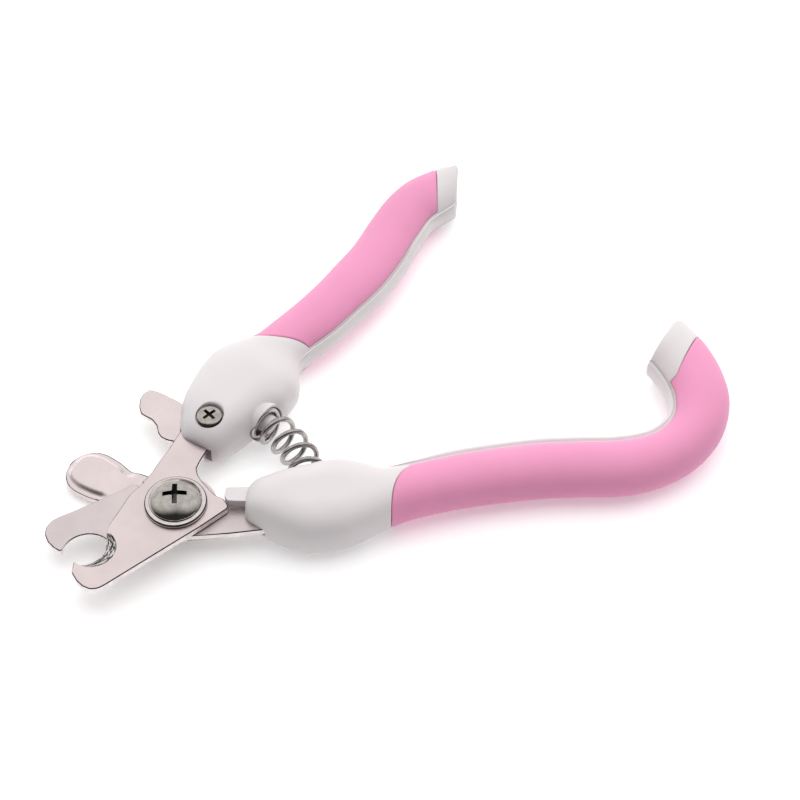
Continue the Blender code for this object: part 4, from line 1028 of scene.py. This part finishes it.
# ------------------------------------------------------ what rides on what
for piece, body, node, slot in (
        (lower_blade, "lower_half", "lower_blade", "blade_steel"),
        (lower_core, "lower_half", "lower_handle_core", "white_plastic"),
        (lower_grip, "lower_half", "lower_grip", "pink_grip"),
        (pivot_screw, "lower_half", "pivot_screw", "bright_screw"),
        (pivot_washer, "lower_half", "pivot_washer", "blade_steel"),
        (pivot_nut, "lower_half", "pivot_nut", "dull_steel"),
        (guard_washer, "lower_half", "guard_spring_washer", "dull_steel"),
        (upper_blade, "upper_half", "upper_blade", "blade_steel"),
        (upper_core, "upper_half", "upper_handle_core", "white_plastic"),
        (upper_grip, "upper_half", "upper_grip", "pink_grip"),
        (lock_screw, "upper_half", "lock_screw", "bright_screw"),
        (lock_washer, "upper_half", "lock_spring_washer", "dull_steel"),
        (lock_nut, "upper_half", "lock_nut", "dull_steel"),
        (guard, "guard", "guard_plate", "stamped_steel"),
        (lever, "lock", "lock_lever", "stamped_steel")):
    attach(piece, body)
    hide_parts(node)

sx, sy = radial(SPRING_TO)
tx, ty = radial(SPRING_FROM)
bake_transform(spring)
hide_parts("return_spring")

# --------------------------------------------------------- floor, light, view
me = bpy.data.meshes.new("floor")
me.from_pydata([(-4, -4, 0), (4, -4, 0), (4, 4, 0), (-4, 4, 0)], [], [[0, 1, 2, 3]])
floor = bpy.data.objects.new("floor", me)
bpy.context.collection.objects.link(floor)
fm = Mat("pale_floor", (0.93, 0.93, 0.93), 0.6, 0.0, Specular_IOR_Level=0.1,
         Emission_Color=(1.0, 1.0, 1.0, 1.0), Emission_Strength=0.28)
fm.tint(fm.noise(6, 2.0), 0.995, 1.005)
floor.data.materials.append(fm.m)


def area(name, at, aim, size, power, colour=(1, 1, 1)):
    l = bpy.data.lights.new(name, 'AREA')
    l.shape, l.size, l.energy, l.color = 'DISK', size, power, colour
    o = bpy.data.objects.new(name, l)
    o.location = at
    o.rotation_euler = (Vector(aim) - Vector(at)).to_track_quat('-Z', 'Y').to_euler()
    bpy.context.collection.objects.link(o)
    return o


key = area("softbox_back", (0.12, 0.24, 0.80), (0.0, 0.0, 0.0), 1.3, 4.3, (1.0, 0.995, 0.99))
key.visible_glossy = False

w = bpy.data.worlds.new("studio")
bpy.context.scene.world = w
w.use_nodes = True
wt = w.node_tree
bg = wt.nodes["Background"]
tc = wt.nodes.new("ShaderNodeTexCoord")
sp = wt.nodes.new("ShaderNodeSeparateXYZ")
wt.links.new(tc.outputs["Generated"], sp.inputs[0])


def vmath(op, a, b=None, c=None):
    n = wt.nodes.new("ShaderNodeMath")
    n.operation = op
    for i, x in enumerate((a, b, c)):
        if x is None:
            continue
        if isinstance(x, (int, float)):
            n.inputs[i].default_value = x
        else:
            wt.links.new(x, n.inputs[i])
    return n.outputs[0]


# bright overhead and behind, dim low down on the side the viewer stands
tilt = vmath('ADD', vmath('MULTIPLY', sp.outputs["Y"], 0.62), vmath('MULTIPLY', sp.outputs["Z"], 0.78))
tilt = vmath('ADD', tilt, vmath('MULTIPLY', vmath('ABSOLUTE', sp.outputs["X"]), 0.32))
mr = wt.nodes.new("ShaderNodeMapRange")
mr.interpolation_type = 'SMOOTHSTEP'
mr.inputs["From Min"].default_value = 0.28
mr.inputs["From Max"].default_value = 0.80
mr.inputs["To Min"].default_value = 0.045
mr.inputs["To Max"].default_value = 1.03
wt.links.new(tilt, mr.inputs["Value"])
wt.links.new(mr.outputs["Result"], bg.inputs["Strength"])
bg.inputs["Color"].default_value = (1.0, 0.995, 0.995, 1.0)

cam = bpy.data.cameras.new("camera")
cam.lens, cam.sensor_width = 90.0, 36.0
cam.clip_start, cam.clip_end = 0.01, 50.0
camera = bpy.data.objects.new("camera", cam)
camera.location = ((43.515 + PIVOT_X) * MM, (-234.246 + PIVOT_Y) * MM, 0.317998)
camera.rotation_euler = (math.radians(40.0), 0.0, 0.0)
bpy.context.collection.objects.link(camera)
bpy.context.scene.camera = camera
bpy.context.scene.view_settings.view_transform = 'Standard'
